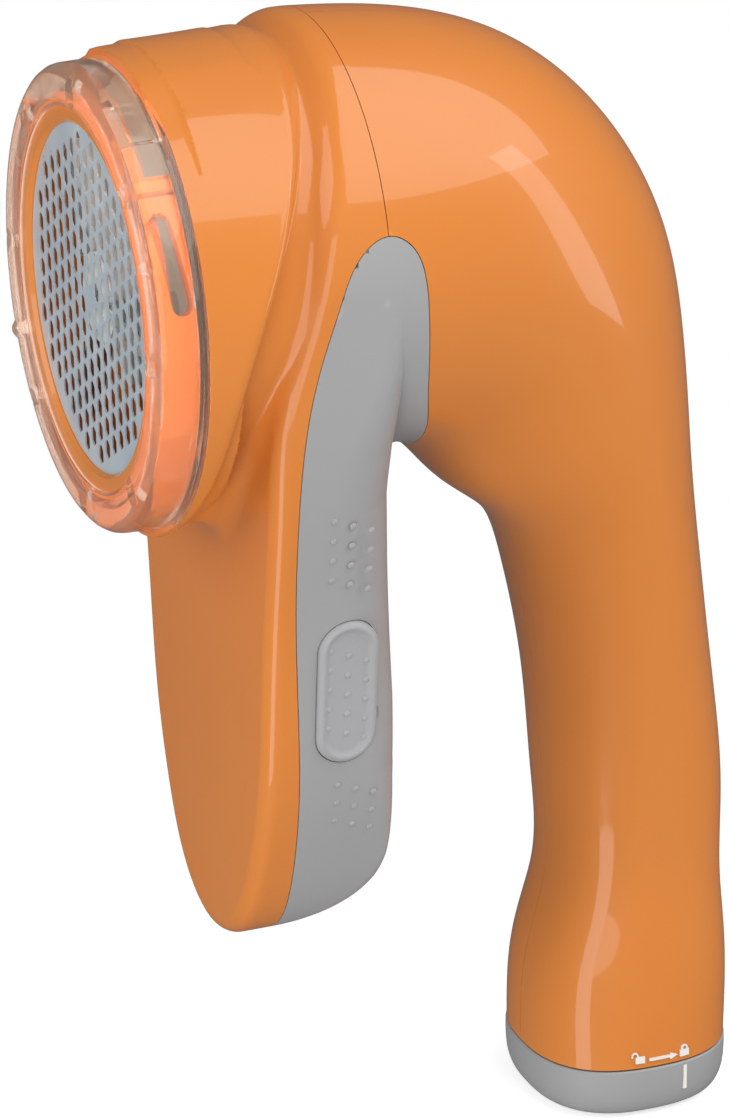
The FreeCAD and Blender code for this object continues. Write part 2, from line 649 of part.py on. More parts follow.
def make_battery_sleeve():
    tube = stadium(SLEEVE_HALF_X, SLEEVE_HALF_Y, 12.0, SLEEVE_TOP_Z)
    collar = Part.makeCylinder(NECK_TUBE_R, COLLAR_TOP_Z - 3.4, Vector(0, 0, 3.4))
    sleeve = tube.fuse(collar)
    sleeve = sleeve.cut(stadium(14.75, 7.5, 2.0, CELL_TOP_Z + 4.6))
    sleeve = sleeve.cut(Part.makeCylinder(CONTACT_ROOM_R, CELL_BOTTOM_Z, Vector(0, 0, 0.1)))
    for angle in bayonet_angles():
        lug = block(15.0, 17.0, -2.2, 2.2, 4.6, 6.2).common(Part.makeCylinder(17.0, 8, Vector(0, 0, 0)))
        lug.rotate(Vector(0, 0, 0), Vector(0, 0, 1), angle)
        sleeve = sleeve.fuse(lug)
    return sleeve.removeSplitter()


def make_battery_cells():
    cells = []
    for x, flip in ((-CELL_X, False), (CELL_X, True)):
        body = Part.makeCylinder(CELL_R, CELL_LENGTH - 1.4, Vector(x, 0, CELL_BOTTOM_Z + (1.4 if flip else 0)))
        tip_z = CELL_BOTTOM_Z if flip else CELL_TOP_Z - 1.6
        tip = Part.makeCylinder(2.7, 1.6, Vector(x, 0, tip_z))
        cells.append(body.fuse(tip).removeSplitter())
    return Part.makeCompound(cells)


def make_battery_contacts():
    plates = [block(x - 5.5, x + 5.5, -4.5, 4.5, CELL_TOP_Z + 4.1, CELL_TOP_Z + 4.6) for x in (-CELL_X, CELL_X)]
    return Part.makeCompound(plates)


def make_contact_springs():
    springs = []
    for x in (-CELL_X, CELL_X):
        springs.append(coil(3.6, 0.35, 1.15, 3.2, Vector(x, 0, CELL_TOP_Z + 0.45), Vector(0, 0, 1)))
    return Part.makeCompound(springs)


def cap_wire(z, inset):
    return superellipse_wire((0, z, 90, CAP_HALF_Y, CAP_HALF_X, CAP_ROUNDNESS), inset)


def make_battery_cap():
    layers = [(0.0, 4.6), (0.45, 2.9), (1.5, 1.5), (3.0, 0.65), (5.0, 0.15), (CAP_TOP_Z - SEAM_GAP, 0.0)]
    body = Part.makeLoft([cap_wire(z, inset) for z, inset in layers], True, False)
    body = body.cut(Part.makeCylinder(CAP_BORE_R, 20, Vector(0, 0, CAP_FLOOR)))
    body = body.cut(Part.makeCylinder(SEAL_R + 0.05, SEAL_HEIGHT + 0.1, Vector(0, 0, SEAL_Z - 0.05)))
    for angle in bayonet_angles():
        entry = bayonet_pocket(angle)
        body = body.cut(entry)
    return body


def bayonet_pocket(angle):
    """The ramped groove that a lug runs in, open at the top for the lug to drop out."""
    steps = 7
    pieces = []
    for i in range(steps + 1):
        share = i / steps
        low = 4.5 + CAP_DROP * share
        cut = block(15.0, 17.15, -2.7, 2.7, low, low + 1.8)
        cut.rotate(Vector(0, 0, 0), Vector(0, 0, 1), angle + CAP_TURN * share)
        pieces.append(cut)
    way_out = block(15.0, 17.15, -2.9, 2.9, 4.5 + CAP_DROP, 12)
    way_out.rotate(Vector(0, 0, 0), Vector(0, 0, 1), angle + CAP_TURN)
    whole = fuse_all(pieces + [way_out])
    return whole.common(Part.makeCylinder(17.15, 20))


def make_cap_contact():
    plate = block(-12.5, 12.5, -3.5, 3.5, 8.6, 9.1)
    for x in (-CELL_X, CELL_X):
        plate = plate.fuse(Part.makeCylinder(1.6, 6.3, Vector(x, 0, 2.42)))
    return plate.removeSplitter()


def make_cap_seal():
    ring = Part.makeCylinder(SEAL_R, SEAL_HEIGHT, Vector(0, 0, SEAL_Z))
    return ring.cut(Part.makeCylinder(NECK_TUBE_R + RUN_GAP, 3, Vector(0, 0, SEAL_Z - 1)))


# ---- Wiring -----------------------------------------------------------------------------
def make_wires(side):
    """One wire from a motor terminal to the switch and on down to the battery contact."""
    x = 7.0 * side
    upper = wire_tube([(x, MOTOR_REAR_Y + 4.6, HEAD_Z), (x, -38, 156), (x * 0.8, -26, 150), (x * 0.5, -12, 146),
                       (x * 0.5, -8.0, 141)], 0.7)
    lower = wire_tube([(x * 0.7, -12.5, 138), (x * 0.9, -16.0, 126), (x * 0.9, -12.0, 106), (x, -7.5, 86),
                       (x, -5.8, 74), (x, -5.2, SLEEVE_TOP_Z + 0.3)], 0.7)
    return Part.makeCompound([upper, lower])


# ---- Output -----------------------------------------------------------------------------
def main():
    os.makedirs("parts", exist_ok=True)
    tube_outer, tube_mid, tube_inner = tube_solid(0), tube_solid(1.1), tube_solid(WALL)
    catcher, left_pad, right_pad = make_catcher_and_pads(tube_outer, tube_inner)
    left_rear, right_rear = make_rear_shells(tube_outer, tube_mid, tube_inner)
    nodes = {
        "front_shell": make_front_shell(),
        "left_rear_shell": left_rear,
        "right_rear_shell": right_rear,
        "lint_catcher": catcher,
        "left_squeeze_pad": left_pad,
        "right_squeeze_pad": right_pad,
        "depth_guard": make_depth_guard(),
        "guard_friction_ring": make_guard_friction_ring(),
        "foil": make_foil(),
        "foil_ring": make_foil_ring(),
        "blade_hub": make_blade_hub(),
        "blades": make_blades(),
        "blade_spring": make_blade_spring(),
        "motor_bulkhead": make_motor_bulkhead(),
        "mount_screws": make_mount_screws(),
        "motor_can": make_motor_can(),
        "motor_end_cap": make_motor_end_cap(),
        "motor_terminals": make_motor_terminals(),
        "motor_magnets": make_motor_magnets(),
        "motor_bushes": make_motor_bushes(),
        "motor_armature": make_motor_armature(),
        "commutator": make_commutator(),
        "motor_brushes": make_motor_brushes(),
        "casing_screws": make_casing_screws(),
        "switch_knob": make_switch_knob(),
        "switch_body": make_switch_body(),
        "switch_contacts": make_switch_contacts(),
        "battery_sleeve": make_battery_sleeve(),
        "battery_cells": make_battery_cells(),
        "battery_contacts": make_battery_contacts(),
        "contact_springs": make_contact_springs(),
        "battery_cap": make_battery_cap(),
        "cap_contact": make_cap_contact(),
        "cap_seal": make_cap_seal(),
        "red_wires": make_wires(1),
        "black_wires": make_wires(-1),
    }
    for name, shape in nodes.items():
        solids = shape.Solids
        whole = solids[0] if len(solids) == 1 else Part.makeCompound(solids)
        whole.exportStep("parts/" + name + ".step")
        print(name, len(solids), shape.isValid(), round(whole.Volume))


main()
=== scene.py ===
import json
import math
import bpy
import numpy as np
from mathutils import Matrix, Vector

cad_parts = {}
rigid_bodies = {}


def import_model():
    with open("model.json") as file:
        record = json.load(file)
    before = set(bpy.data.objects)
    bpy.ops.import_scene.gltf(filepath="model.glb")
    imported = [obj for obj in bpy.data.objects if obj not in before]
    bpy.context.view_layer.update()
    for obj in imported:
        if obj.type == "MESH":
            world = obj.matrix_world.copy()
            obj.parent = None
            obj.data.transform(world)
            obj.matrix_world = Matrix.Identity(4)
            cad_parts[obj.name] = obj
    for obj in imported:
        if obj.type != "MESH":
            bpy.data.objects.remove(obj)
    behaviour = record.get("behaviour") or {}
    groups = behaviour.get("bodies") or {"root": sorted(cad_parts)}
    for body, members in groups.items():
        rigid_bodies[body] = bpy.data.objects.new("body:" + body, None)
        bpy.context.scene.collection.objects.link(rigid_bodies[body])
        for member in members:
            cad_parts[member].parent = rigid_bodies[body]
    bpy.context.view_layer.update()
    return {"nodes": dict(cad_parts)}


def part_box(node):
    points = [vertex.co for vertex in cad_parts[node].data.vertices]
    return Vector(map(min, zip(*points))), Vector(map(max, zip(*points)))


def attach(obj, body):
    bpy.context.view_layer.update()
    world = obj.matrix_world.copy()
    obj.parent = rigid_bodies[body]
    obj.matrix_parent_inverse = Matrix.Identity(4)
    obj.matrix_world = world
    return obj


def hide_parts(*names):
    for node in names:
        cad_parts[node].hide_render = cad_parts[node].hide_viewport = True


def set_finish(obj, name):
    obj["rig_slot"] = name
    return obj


# The looks of a hooked fabric shaver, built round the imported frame.
# Shapes are worked out in millimetres in the frame's own axes, and scaled to metres when a mesh is made.

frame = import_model()
MM = 0.001


def node_box(node):
    """Lowest and highest corner of a CAD node in millimetres."""
    lo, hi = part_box(node)
    return np.array(lo) / MM, np.array(hi) / MM


# ---- Dimensions taken from the frame ----------------------------------------------------
guard_lo, guard_hi = node_box("depth_guard")
shell_hi = node_box("front_shell")[1]
cap_hi = node_box("battery_cap")[1]
HEAD_Z = (guard_lo[2] + guard_hi[2]) / 2        # cutting axis
GUARD_FRONT_Y = guard_lo[1]
GUARD_REAR_Y = guard_hi[1]
SEAM_GAP = 0.15                                 # visible line between two mouldings
SEAM_Y = shell_hi[1] + SEAM_GAP / 2
SHELL_TOP_Z = shell_hi[2]
CAP_HALF_X, CAP_HALF_Y = cap_hi[0], cap_hi[1]
CAP_TOP_Z = cap_hi[2] + SEAM_GAP
CAP_ROUNDNESS = 2.5                             # 2 is an ellipse

# ---- Dimensions of the mouldings ----------------------------------------------------------
WALL = 2.2
HOOD_R = 36.3
HOOD_Z = HEAD_Z + 6.6
CORE_R, CORE_Z = 34.0, HOOD_Z - 0.8             # waist between the drum and the hood
DRUM_FRONT_R, DRUM_GROWTH = 38.5, 0.098         # front radius, and its growth per mm towards the rear
NECK_R, NECK_BORE_R = 36.3, 33.9
NECK_FRONT_Y = GUARD_FRONT_Y + 1.9
PEG_Y = GUARD_FRONT_Y + 5.5
PEG_ANGLES = (15, 135, 255)
GUARD_TURN, GUARD_LIFT = 20.0, 1.5
LEG_REAR_Y = -49.6
CATCHER_WALL = 1.9
# Rounding of the leg's rear corners, and the forward lean of its rear wall, by height.
ROUNDING_Z = [43.0, 61.0, 79.0, 102.0, 115.0, 127.0, 136.0, 150.0, 164.0]
ROUNDING = [3.0, 3.2, 8.8, 11.6, 13.0, 14.0, 12.0, 6.0, 2.6]
LEAN_Z, LEAN_Y = [64.0, 90.0, 130.0, 150.0], [0.0, -0.2, -1.8, -1.8]

# Half of the front view of the hood and leg: x, z from the side of the hood to the tip of the leg.
LEG_SIDE = [(36.3, 164.1), (35.5, 142.0), (34.3, 130.0), (31.0, 110.0), (28.9, 93.0), (26.9, 78.0),
            (21.6, 61.5), (12.8, 48.2), (0.0, 43.0)]
# Side views: y, z.
HOOD_FRONT = [(-56.0, 212.0), (-59.0, 203.0), (-62.5, 189.0), (-66.0, 177.0), (-71.0, 158.0),
              (-74.6, 146.0), (-75.5, 132.0), (-75.4, 110.0), (-75.4, 70.0), (-75.4, 35.0)]
DRUM_BACK = [(-56.0, 214.0), (-59.5, 206.0), (-66.5, 188.3), (-73.0, 172.5), (-80.0, 154.0), (-83.3, 135.0),
             (-84.6, 112.0), (-84.6, 95.0)]
CATCHER_EDGE = [(-67.0, 30.0), (-67.4, 42.0), (-68.4, 67.0), (-69.7, 95.0), (-70.8, 128.5), (-69.1, 147.0),
                (-66.9, 155.5), (-64.3, 163.0), (-60.9, 170.2), (-55.0, 173.4), (-51.6, 171.3),
                (-49.8, 166.7), (-49.2, 160.8), (-48.6, 153.6), (-46.9, 143.4), (-44.3, 135.5),
                (-42.0, 126.0), (-39.5, 112.0), (-38.0, 80.0), (-38.0, 20.0)]
CATCHER_BOTTOM = [(-76.0, 36.5), (-67.4, 42.0), (-60.0, 46.6), (-53.2, 53.5), (-49.6, 64.0), (-48.8, 76.0)]

# Sections of the hooked tube from the seam round to the cap: y, z, lean of the centre line below
# horizontal in degrees, half depth, half width, roundness (2 is an ellipse).
TUBE = [
    (-55.5, 164.1, 0, 36.3, 36.3, 2.0),
    (-45.3, 163.4, 8, 35.9, 36.0, 2.0),
    (-35.4, 160.8, 22, 35.3, 35.0, 2.0),
    (-25.9, 154.3, 37, 32.8, 33.0, 2.0),
    (-18.1, 144.1, 50, 28.9, 30.5, 2.0),
    (-12.6, 130.5, 59, 24.1, 28.0, 2.0),
    (-7.4, 116.8, 70, 18.1, 25.5, 2.0),
    (-3.5, 99.3, 81, 15.4, 23.0, 2.1),
    (-0.3, 78.8, 87, 15.1, 20.0, 2.2),
    (1.7, 57.6, 90, 15.6, 17.5, 2.3),
    (1.8, 40.0, 90, 15.6, 16.8, 2.4),
    (1.2, 33.5, 90, 16.7, 17.2, 2.45),
    (0.6, 27.0, 90, 17.7, 17.7, 2.5),
    (0.0, 10.0, 90, 18.06, 18.65, 2.5),
]
PAD_Y, PAD_Z, PAD_HALF_Y, PAD_HALF_Z = -61.2, 95.2, 5.4, 13.0
SCREW_POINTS = [(-38.0, 186.0), (-8.0, 128.0), (1.5, 72.0)]
SWITCH_Y, SWITCH_Z, SWITCH_LEAN = 6.4, 153.0, 11.5

FINE = 0.65              # mesh spacing of the large mouldings


# ---- Curves and tables ------------------------------------------------------------------
def spline_values(knots, values, at):
    """Natural cubic spline through values at knots, sampled at the positions given."""
    knots, values = np.asarray(knots, float), np.asarray(values, float)
    n = len(knots)
    gap = np.diff(knots)
    matrix, right = np.eye(n), np.zeros((n,) + values.shape[1:])
    for i in range(1, n - 1):
        matrix[i, i - 1:i + 2] = gap[i - 1], 2 * (gap[i - 1] + gap[i]), gap[i]
        right[i] = 6 * ((values[i + 1] - values[i]) / gap[i] - (values[i] - values[i - 1]) / gap[i - 1])
    bend = np.linalg.solve(matrix, right)
    at = np.clip(at, knots[0], knots[-1])
    i = np.clip(np.searchsorted(knots, at, side="right") - 1, 0, n - 2)
    h = gap[i]
    a, b = (knots[i + 1] - at) / h, (at - knots[i]) / h
    if values.ndim > 1:
        a, b, h = a[..., None], b[..., None], h[..., None]
    curved = (a ** 3 - a) * bend[i] + (b ** 3 - b) * bend[i + 1]
    return a * values[i] + b * values[i + 1] + curved * h ** 2 / 6


def smooth_path(points, spacing=1.0):
    """A dense path along a spline through points."""
    points = np.array(points, float)
    knots = np.concatenate([[0], np.cumsum(np.linalg.norm(np.diff(points, axis=0), axis=1))])
    count = int(knots[-1] / spacing) + 2
    return spline_values(knots, points, np.linspace(0, knots[-1], count))


def path_distance(path):
    """A function of two coordinates: distance from a path, positive on its left."""
    def distance(u, v):
        u, v = np.broadcast_arrays(u, v)
        best, side = np.full(u.shape, 1e9), np.ones(u.shape)
        for p, q in zip(path[:-1], path[1:]):
            d = q - p
            du, dv = u - p[0], v - p[1]
            t = np.clip((du * d[0] + dv * d[1]) / (d @ d), 0, 1)
            away = (du - t * d[0]) ** 2 + (dv - t * d[1]) ** 2
            better = away < best
            best = np.where(better, away, best)
            side = np.where(better, d[0] * dv - d[1] * du, side)
        return np.sqrt(best) * np.sign(side)
    return distance


class Sheet:
    """A smooth function of two coordinates, tabulated once and sampled with cubic weights."""

    def __init__(self, function, lo, hi, step=1.0):
        self.lo, self.step = lo, step
        u = np.arange(lo[0], hi[0] + step, step)
        v = np.arange(lo[1], hi[1] + step, step)
        self.table = function(u[:, None], v[None, :])

    def __call__(self, u, v):
        size = self.table.shape
        a = np.clip((u - self.lo[0]) / self.step, 1, size[0] - 2.001)
        b = np.clip((v - self.lo[1]) / self.step, 1, size[1] - 2.001)
        i, j = a.astype(int), b.astype(int)
        wa, wb = cubic_weights(a - i), cubic_weights(b - j)
        total = 0.0
        for m in range(4):
            row = 0.0
            for n in range(4):
                row = row + wb[n] * self.table[i + m - 1, j + n - 1]
            total = total + wa[m] * row
        return total


def cubic_weights(t):
    return (-0.5 * t ** 3 + t ** 2 - 0.5 * t, 1.5 * t ** 3 - 2.5 * t ** 2 + 1,
            -1.5 * t ** 3 + 2 * t ** 2 + 0.5 * t, 0.5 * t ** 3 - 0.5 * t ** 2)


def side_sheet(points):
    return Sheet(path_distance(smooth_path(points)), (-100, 25), (15, 215))


def keyhole_path():
    """Closed front view of the hood and leg, anticlockwise from the right of the hood."""
    leg = smooth_path([(-x, z) for x, z in LEG_SIDE] + LEG_SIDE[-2::-1])
    arc = [(HOOD_R * math.cos(t), HOOD_Z + HOOD_R * math.sin(t)) for t in np.linspace(0, math.pi, 120)]
    return np.vstack([arc[:-1], leg[:-1], [arc[0]]])


def tube_station_curves():
    """Stations of the tube against distance along its centre line."""
    stations = np.array(TUBE, float)
    along = np.concatenate([[0], np.cumsum(np.linalg.norm(np.diff(stations[:, :2], axis=0), axis=1))])
    return along, stations


TUBE_ALONG, TUBE_STATIONS = tube_station_curves()
TUBE_FINE_S = np.linspace(0, TUBE_ALONG[-1], 1200)
TUBE_FINE = spline_values(TUBE_ALONG, TUBE_STATIONS, TUBE_FINE_S)


def tube_at(s, column):
    return np.interp(s, TUBE_FINE_S, TUBE_FINE[:, column])


def tube_place(y, z):
    """Distance along the centre line and offset above it for a point in side view."""
    y, z = np.broadcast_arrays(np.asarray(y, float), np.asarray(z, float))
    low, high = np.zeros(y.shape), np.full(y.shape, TUBE_ALONG[-1])
    for _ in range(34):
        s = (low + high) / 2
        lean = np.radians(tube_at(s, 2))
        ahead = (y - tube_at(s, 0)) * np.cos(lean) - (z - tube_at(s, 1)) * np.sin(lean) > 0
        low, high = np.where(ahead, s, low), np.where(ahead, high, s)
    lean = np.radians(tube_at(s, 2))
    return s, (y - tube_at(s, 0)) * np.sin(lean) + (z - tube_at(s, 1)) * np.cos(lean)


TUBE_S = Sheet(lambda y, z: tube_place(y, z)[0], (-100, -5), (30, 215))
TUBE_V = Sheet(lambda y, z: tube_place(y, z)[1], (-100, -5), (30, 215))
KEYHOLE = Sheet(path_distance(keyhole_path()), (-50, 30), (50, 215))
HOOD_SIDE = side_sheet(HOOD_FRONT)
DRUM_SIDE = side_sheet(DRUM_BACK)
CATCHER_SIDE = side_sheet(CATCHER_EDGE)
BOTTOM_SIDE = side_sheet(CATCHER_BOTTOM)


# ---- Distance fields: negative inside ---------------------------------------------------
def join(a, b, radius):
    """Union with a round fillet."""
    corner = np.hypot(np.maximum(radius - a, 0), np.maximum(radius - b, 0))
    return np.maximum(radius, np.minimum(a, b)) - corner


def meet(a, b, radius):
    """Intersection with a round edge."""
    corner = np.hypot(np.maximum(radius + a, 0), np.maximum(radius + b, 0))
    return np.minimum(-radius, np.maximum(a, b)) + corner


def largest(*fields):
    out = fields[0]
    for field in fields[1:]:
        out = np.maximum(out, field)
    return out


def oval(x, v, half_x, half_v, roundness):
    """Distance from a superellipse, measured along the ray from its centre."""
    reach = np.hypot(x, v) + 1e-9
    q = (np.abs(x / half_x) ** roundness + np.abs(v / half_v) ** roundness) ** (1 / roundness) + 1e-9
    return reach * (1 - 1 / q)


def tube(x, y, z, inset=0.0):
    s, v = TUBE_S(y, z), TUBE_V(y, z)
    return oval(x, v, tube_at(s, 4) - inset, tube_at(s, 3) - inset, tube_at(s, 5))


def keyhole(x, z):
    return -KEYHOLE(x, z)


def radius_from(x, z, centre_z):
    return np.hypot(x, z - centre_z)


def stadium(y, z, margin=0.0):
    rise = PAD_HALF_Z - PAD_HALF_Y
    dz = np.maximum(np.abs(z - PAD_Z) - rise, 0)
    return np.hypot(y - PAD_Y, dz) - PAD_HALF_Y - margin


def guard_slots(x, y, z):
    """The three helical slots that the guard's pegs run in."""
    angle = np.degrees(np.arctan2(z - HEAD_Z, x))
    nearest = 1e9
    for start in PEG_ANGLES:
        turn = (angle - start + 180) % 360 - 180
        share = np.clip(turn / GUARD_TURN, 0, 1)
        around = np.radians(turn - share * GUARD_TURN) * NECK_R
        nearest = np.minimum(nearest, np.hypot(around, y - PEG_Y + GUARD_LIFT * share) - 1.75)
    return nearest


def front_outer(x, y, z):
    """Drum, waist, hood, leg and chin as one filleted moulding."""
    r = radius_from(x, z, HEAD_Z)
    cone = r - DRUM_FRONT_R - DRUM_GROWTH * (y - GUARD_REAR_Y)
    front = GUARD_REAR_Y + 0.1 - y
    drum = np.maximum(meet(cone, DRUM_SIDE(y, z), 2.0), front)
    neck = largest(r - NECK_R, NECK_FRONT_Y - y, y + 80)
    core = largest(radius_from(x, z, CORE_Z) - CORE_R, -82.5 - y, y - SEAM_Y)
    crown = 0.45 * (x / 30.0) ** 2
    hood = meet(keyhole(x, z), -HOOD_SIDE(y, z) + crown, 2.9)
    fade = np.clip((np.abs(x) - 9.0) / 19.0, 0, 1)
    chin_r = 38.2 - 6.5 * fade * fade * (3 - 2 * fade)
    chin = largest(r - chin_r, -86.0 - y, y + 72)
    body = join(drum, core, 1.6)
    body = join(body, hood, 1.8)
    body = join(body, chin, 4.5)
    creases = [cone - front, r - NECK_R - NECK_FRONT_Y + y, front - r + NECK_R]
    return np.minimum(body, neck), creases


def front_inner(x, y, z):
    r = radius_from(x, z, HEAD_Z)
    cone = r - DRUM_FRONT_R - DRUM_GROWTH * (y - GUARD_REAR_Y)
    bore = largest(cone + WALL, DRUM_SIDE(y, z) + WALL, -83.0 - y)
    throat = r - NECK_BORE_R + np.clip(y + 84.0, 0, 60) * 3
    waist = radius_from(x, z, CORE_Z) - CORE_R + WALL
    leg = largest(keyhole(x, z) + WALL, -HOOD_SIDE(y, z) + WALL)
    return np.minimum(np.minimum(bore, throat), np.minimum(waist, leg))


def front_shell_shape(x, y, z):
    (outer, creases), inner = front_outer(x, y, z), -front_inner(x, y, z)
    seam = y - SEAM_Y + SEAM_GAP / 2 + 0 * x
    notch = -(CATCHER_SIDE(y, z) - SEAM_GAP / 2) + 0 * x
    slots = -guard_slots(x, y, z)
    parts = [outer, inner, seam, notch, slots]
    return largest(*parts), parts + creases


def catcher_shape(x, y, z):
    """The hollow leg and the strip of the tube's underside that slides with it."""
    rounding = np.interp(z, ROUNDING_Z, ROUNDING)
    outline, rear = keyhole(x, z), y - LEG_REAR_Y - np.interp(z, LEAN_Z, LEAN_Y)
    leg = meet(meet(outline, rear, rounding), -BOTTOM_SIDE(y, z), 2.4)
    hollow = meet(outline + CATCHER_WALL, rear + CATCHER_WALL, np.maximum(rounding - CATCHER_WALL, 0.6))
    hollow = meet(hollow, -BOTTOM_SIDE(y, z) + CATCHER_WALL, 1.0)
    outside, inside = tube(x, y, z), tube(x, y, z, WALL)
    strip = largest(outside, -inside, SEAM_Y - y, 120.0 - z)
    walls = np.minimum(largest(leg, -hollow), strip)
    edge = CATCHER_SIDE(y, z) + SEAM_GAP / 2 + 0 * x
    doorway = -largest(inside, 143.0 - z, SEAM_Y + 1.0 - y)
    window = -np.maximum(stadium(y, z), 15 - np.abs(x))
    parts = [walls, edge, doorway, window, leg - outside]
    return largest(walls, edge, doorway, window), parts


def pad_shape_for(side):
    def shape(x, y, z):
        rim = stadium(y, z, -0.12) + 0 * x
        inside = np.clip(-rim, 0, 4)
        height = 0.62 * np.exp(-((inside - 1.0) / 0.7) ** 2) + 0.28
        face = keyhole(x, z) - height
        outer = meet(face, rim, 0.45)
        inner = -(keyhole(x, z) + CATCHER_WALL)
        half = -side * x + 15
        parts = [outer, inner, rim]
        return largest(outer, inner, half), parts
    return shape


def at_switch(x, y, z):
    """Coordinates of a point seen from the switch's seat: across, outward, up."""
    lean = math.radians(SWITCH_LEAN)
    dy, dz = y - SWITCH_Y, z - SWITCH_Z
    return x, dy * math.cos(lean) + dz * math.sin(lean), -dy * math.sin(lean) + dz * math.cos(lean)


def box_field(a, b, c, half, radius):
    """A rounded box about the origin."""
    qa, qb, qc = np.abs(a) - half[0] + radius, np.abs(b) - half[1] + radius, np.abs(c) - half[2] + radius
    outside = np.sqrt(np.maximum(qa, 0) ** 2 + np.maximum(qb, 0) ** 2 + np.maximum(qc, 0) ** 2)
    return outside + np.minimum(largest(qa, qb, qc), 0) - radius


def rear_shell_shape_for(side):
    """One half of the hooked handle: side is 1 for the left (+X) and -1 for the right."""
    def shape(x, y, z):
        outer, inner = tube(x, y, z), tube(x, y, z, WALL)
        a, b, c = at_switch(x, y, z)
        seat = -box_field(a, b - 3.4, c, (5.7, 4.6, 9.3), 1.2)
        slot = -box_field(a, b, c, (2.2, 9, 5.2), 0.5)
        skin = -inner
        bores = None
        if side < 0:
            for py, pz in SCREW_POINTS:
                away = np.hypot(y - py, z - pz)
                skin = np.minimum(skin, np.maximum(away - 4.2, x))
                bore = -np.minimum(np.maximum(away - 2.9, x + 8.0), away - 1.6)
                bores = bore if bores is None else np.maximum(bores, bore)
        halves = SEAM_GAP / 2 - side * x + 0 * y + 0 * z
        seam = SEAM_Y + SEAM_GAP / 2 - y + 0 * x + 0 * z
        foot = CAP_TOP_Z + 0.2 - z + 0 * x + 0 * y
        notch = -(CATCHER_SIDE(y, z) - SEAM_GAP / 2) + 0 * x
        parts = [outer, skin, halves, seam, foot, notch, seat, slot]
        if bores is not None:
            parts.append(bores)
        return largest(*parts), parts
    return shape


# ---- Meshes from fields -----------------------------------------------------------------
CORNERS = [(i, j, k) for i in (0, 1) for j in (0, 1) for k in (0, 1)]
CELL_EDGES = [(a, b) for a in range(8) for b in range(a + 1, 8)
              if sum(abs(p - q) for p, q in zip(CORNERS[a], CORNERS[b])) == 1]
TETRAHEDRON = np.array([(1, -1, -1), (-1, -1, 1), (-1, 1, -1), (1, 1, 1)], float)


def slopes(shape, p, reach=0.02):
    """Gradients of a shape's value and of each of its parts."""
    total = 0.0
    for way in TETRAHEDRON:
        value, parts = shape(*(p + reach * way).T)
        total = total + np.stack([value] + list(parts))[:, :, None] * way
    return total / (4 * reach)


def grid_values(shape, axes):
    rows = []
    for i in range(0, len(axes[0]), 16):
        x = axes[0][i:i + 16, None, None]
        value = shape(x, axes[1][None, :, None], axes[2][None, None, :])[0]
        size = (x.shape[0], len(axes[1]), len(axes[2]))
        rows.append(np.broadcast_to(value, size).astype(np.float32))
    return np.concatenate(rows)


def cell_points(values, lo, step):
    """A point in each cell that the surface crosses, the cells' indices, and their number in the grid."""
    inside = values < 0
    last = np.array(inside.shape) - 1
    count = sum(inside[i:last[0] + i, j:last[1] + j, k:last[2] + k].astype(np.int8) for i, j, k in CORNERS)
    cells = np.argwhere((count > 0) & (count < 8))
    number = np.full(count.shape, -1, np.int64)
    number[tuple(cells.T)] = np.arange(len(cells))
    at = [values[tuple((cells + c).T)] for c in CORNERS]
    total, hits = np.zeros((len(cells), 3)), np.zeros(len(cells))
    for a, b in CELL_EDGES:
        cross = (at[a] < 0) != (at[b] < 0)
        t = at[a] / np.where(cross, at[a] - at[b], 1)
        start = np.array(CORNERS[a], float)
        point = start + t[:, None] * (np.array(CORNERS[b]) - start)
        total += np.where(cross[:, None], point, 0)
        hits += cross
    return lo + (cells + total / hits[:, None]) * step, cells, number


def cell_quads(values, number):
    """Quads round every grid edge that the surface crosses, facing outward."""
    inside = values < 0
    quads = []
    for axis in range(3):
        u, v = (axis + 1) % 3, (axis + 2) % 3
        first = np.take(inside, range(inside.shape[axis] - 1), axis)
        second = np.take(inside, range(1, inside.shape[axis]), axis)
        edges = np.argwhere(first != second)
        room = (edges[:, u] > 0) & (edges[:, v] > 0)
        room &= (edges[:, u] < number.shape[u]) & (edges[:, v] < number.shape[v])
        edges = edges[room]
        outward = first[tuple(edges.T)]
        ring = []
        for du, dv in ((-1, -1), (0, -1), (0, 0), (-1, 0)):
            cell = edges.copy()
            cell[:, u] += du
            cell[:, v] += dv
            ring.append(number[tuple(cell.T)])
        quad = np.stack(ring, 1)
        quads.append(np.where(outward[:, None], quad, quad[:, ::-1]))
    return np.concatenate(quads)


def settle(shape, p, step, rounds=3):
    """Moves points onto the surface."""
    for _ in range(rounds):
        value = shape(*p.T)[0]
        slope = slopes(shape, p)[0]
        move = -value[:, None] * slope / np.maximum((slope ** 2).sum(1), 0.05)[:, None]
        length = np.linalg.norm(move, axis=1)
        p = p + move * np.minimum(1, step / np.maximum(length, 1e-9))[:, None]
    return p


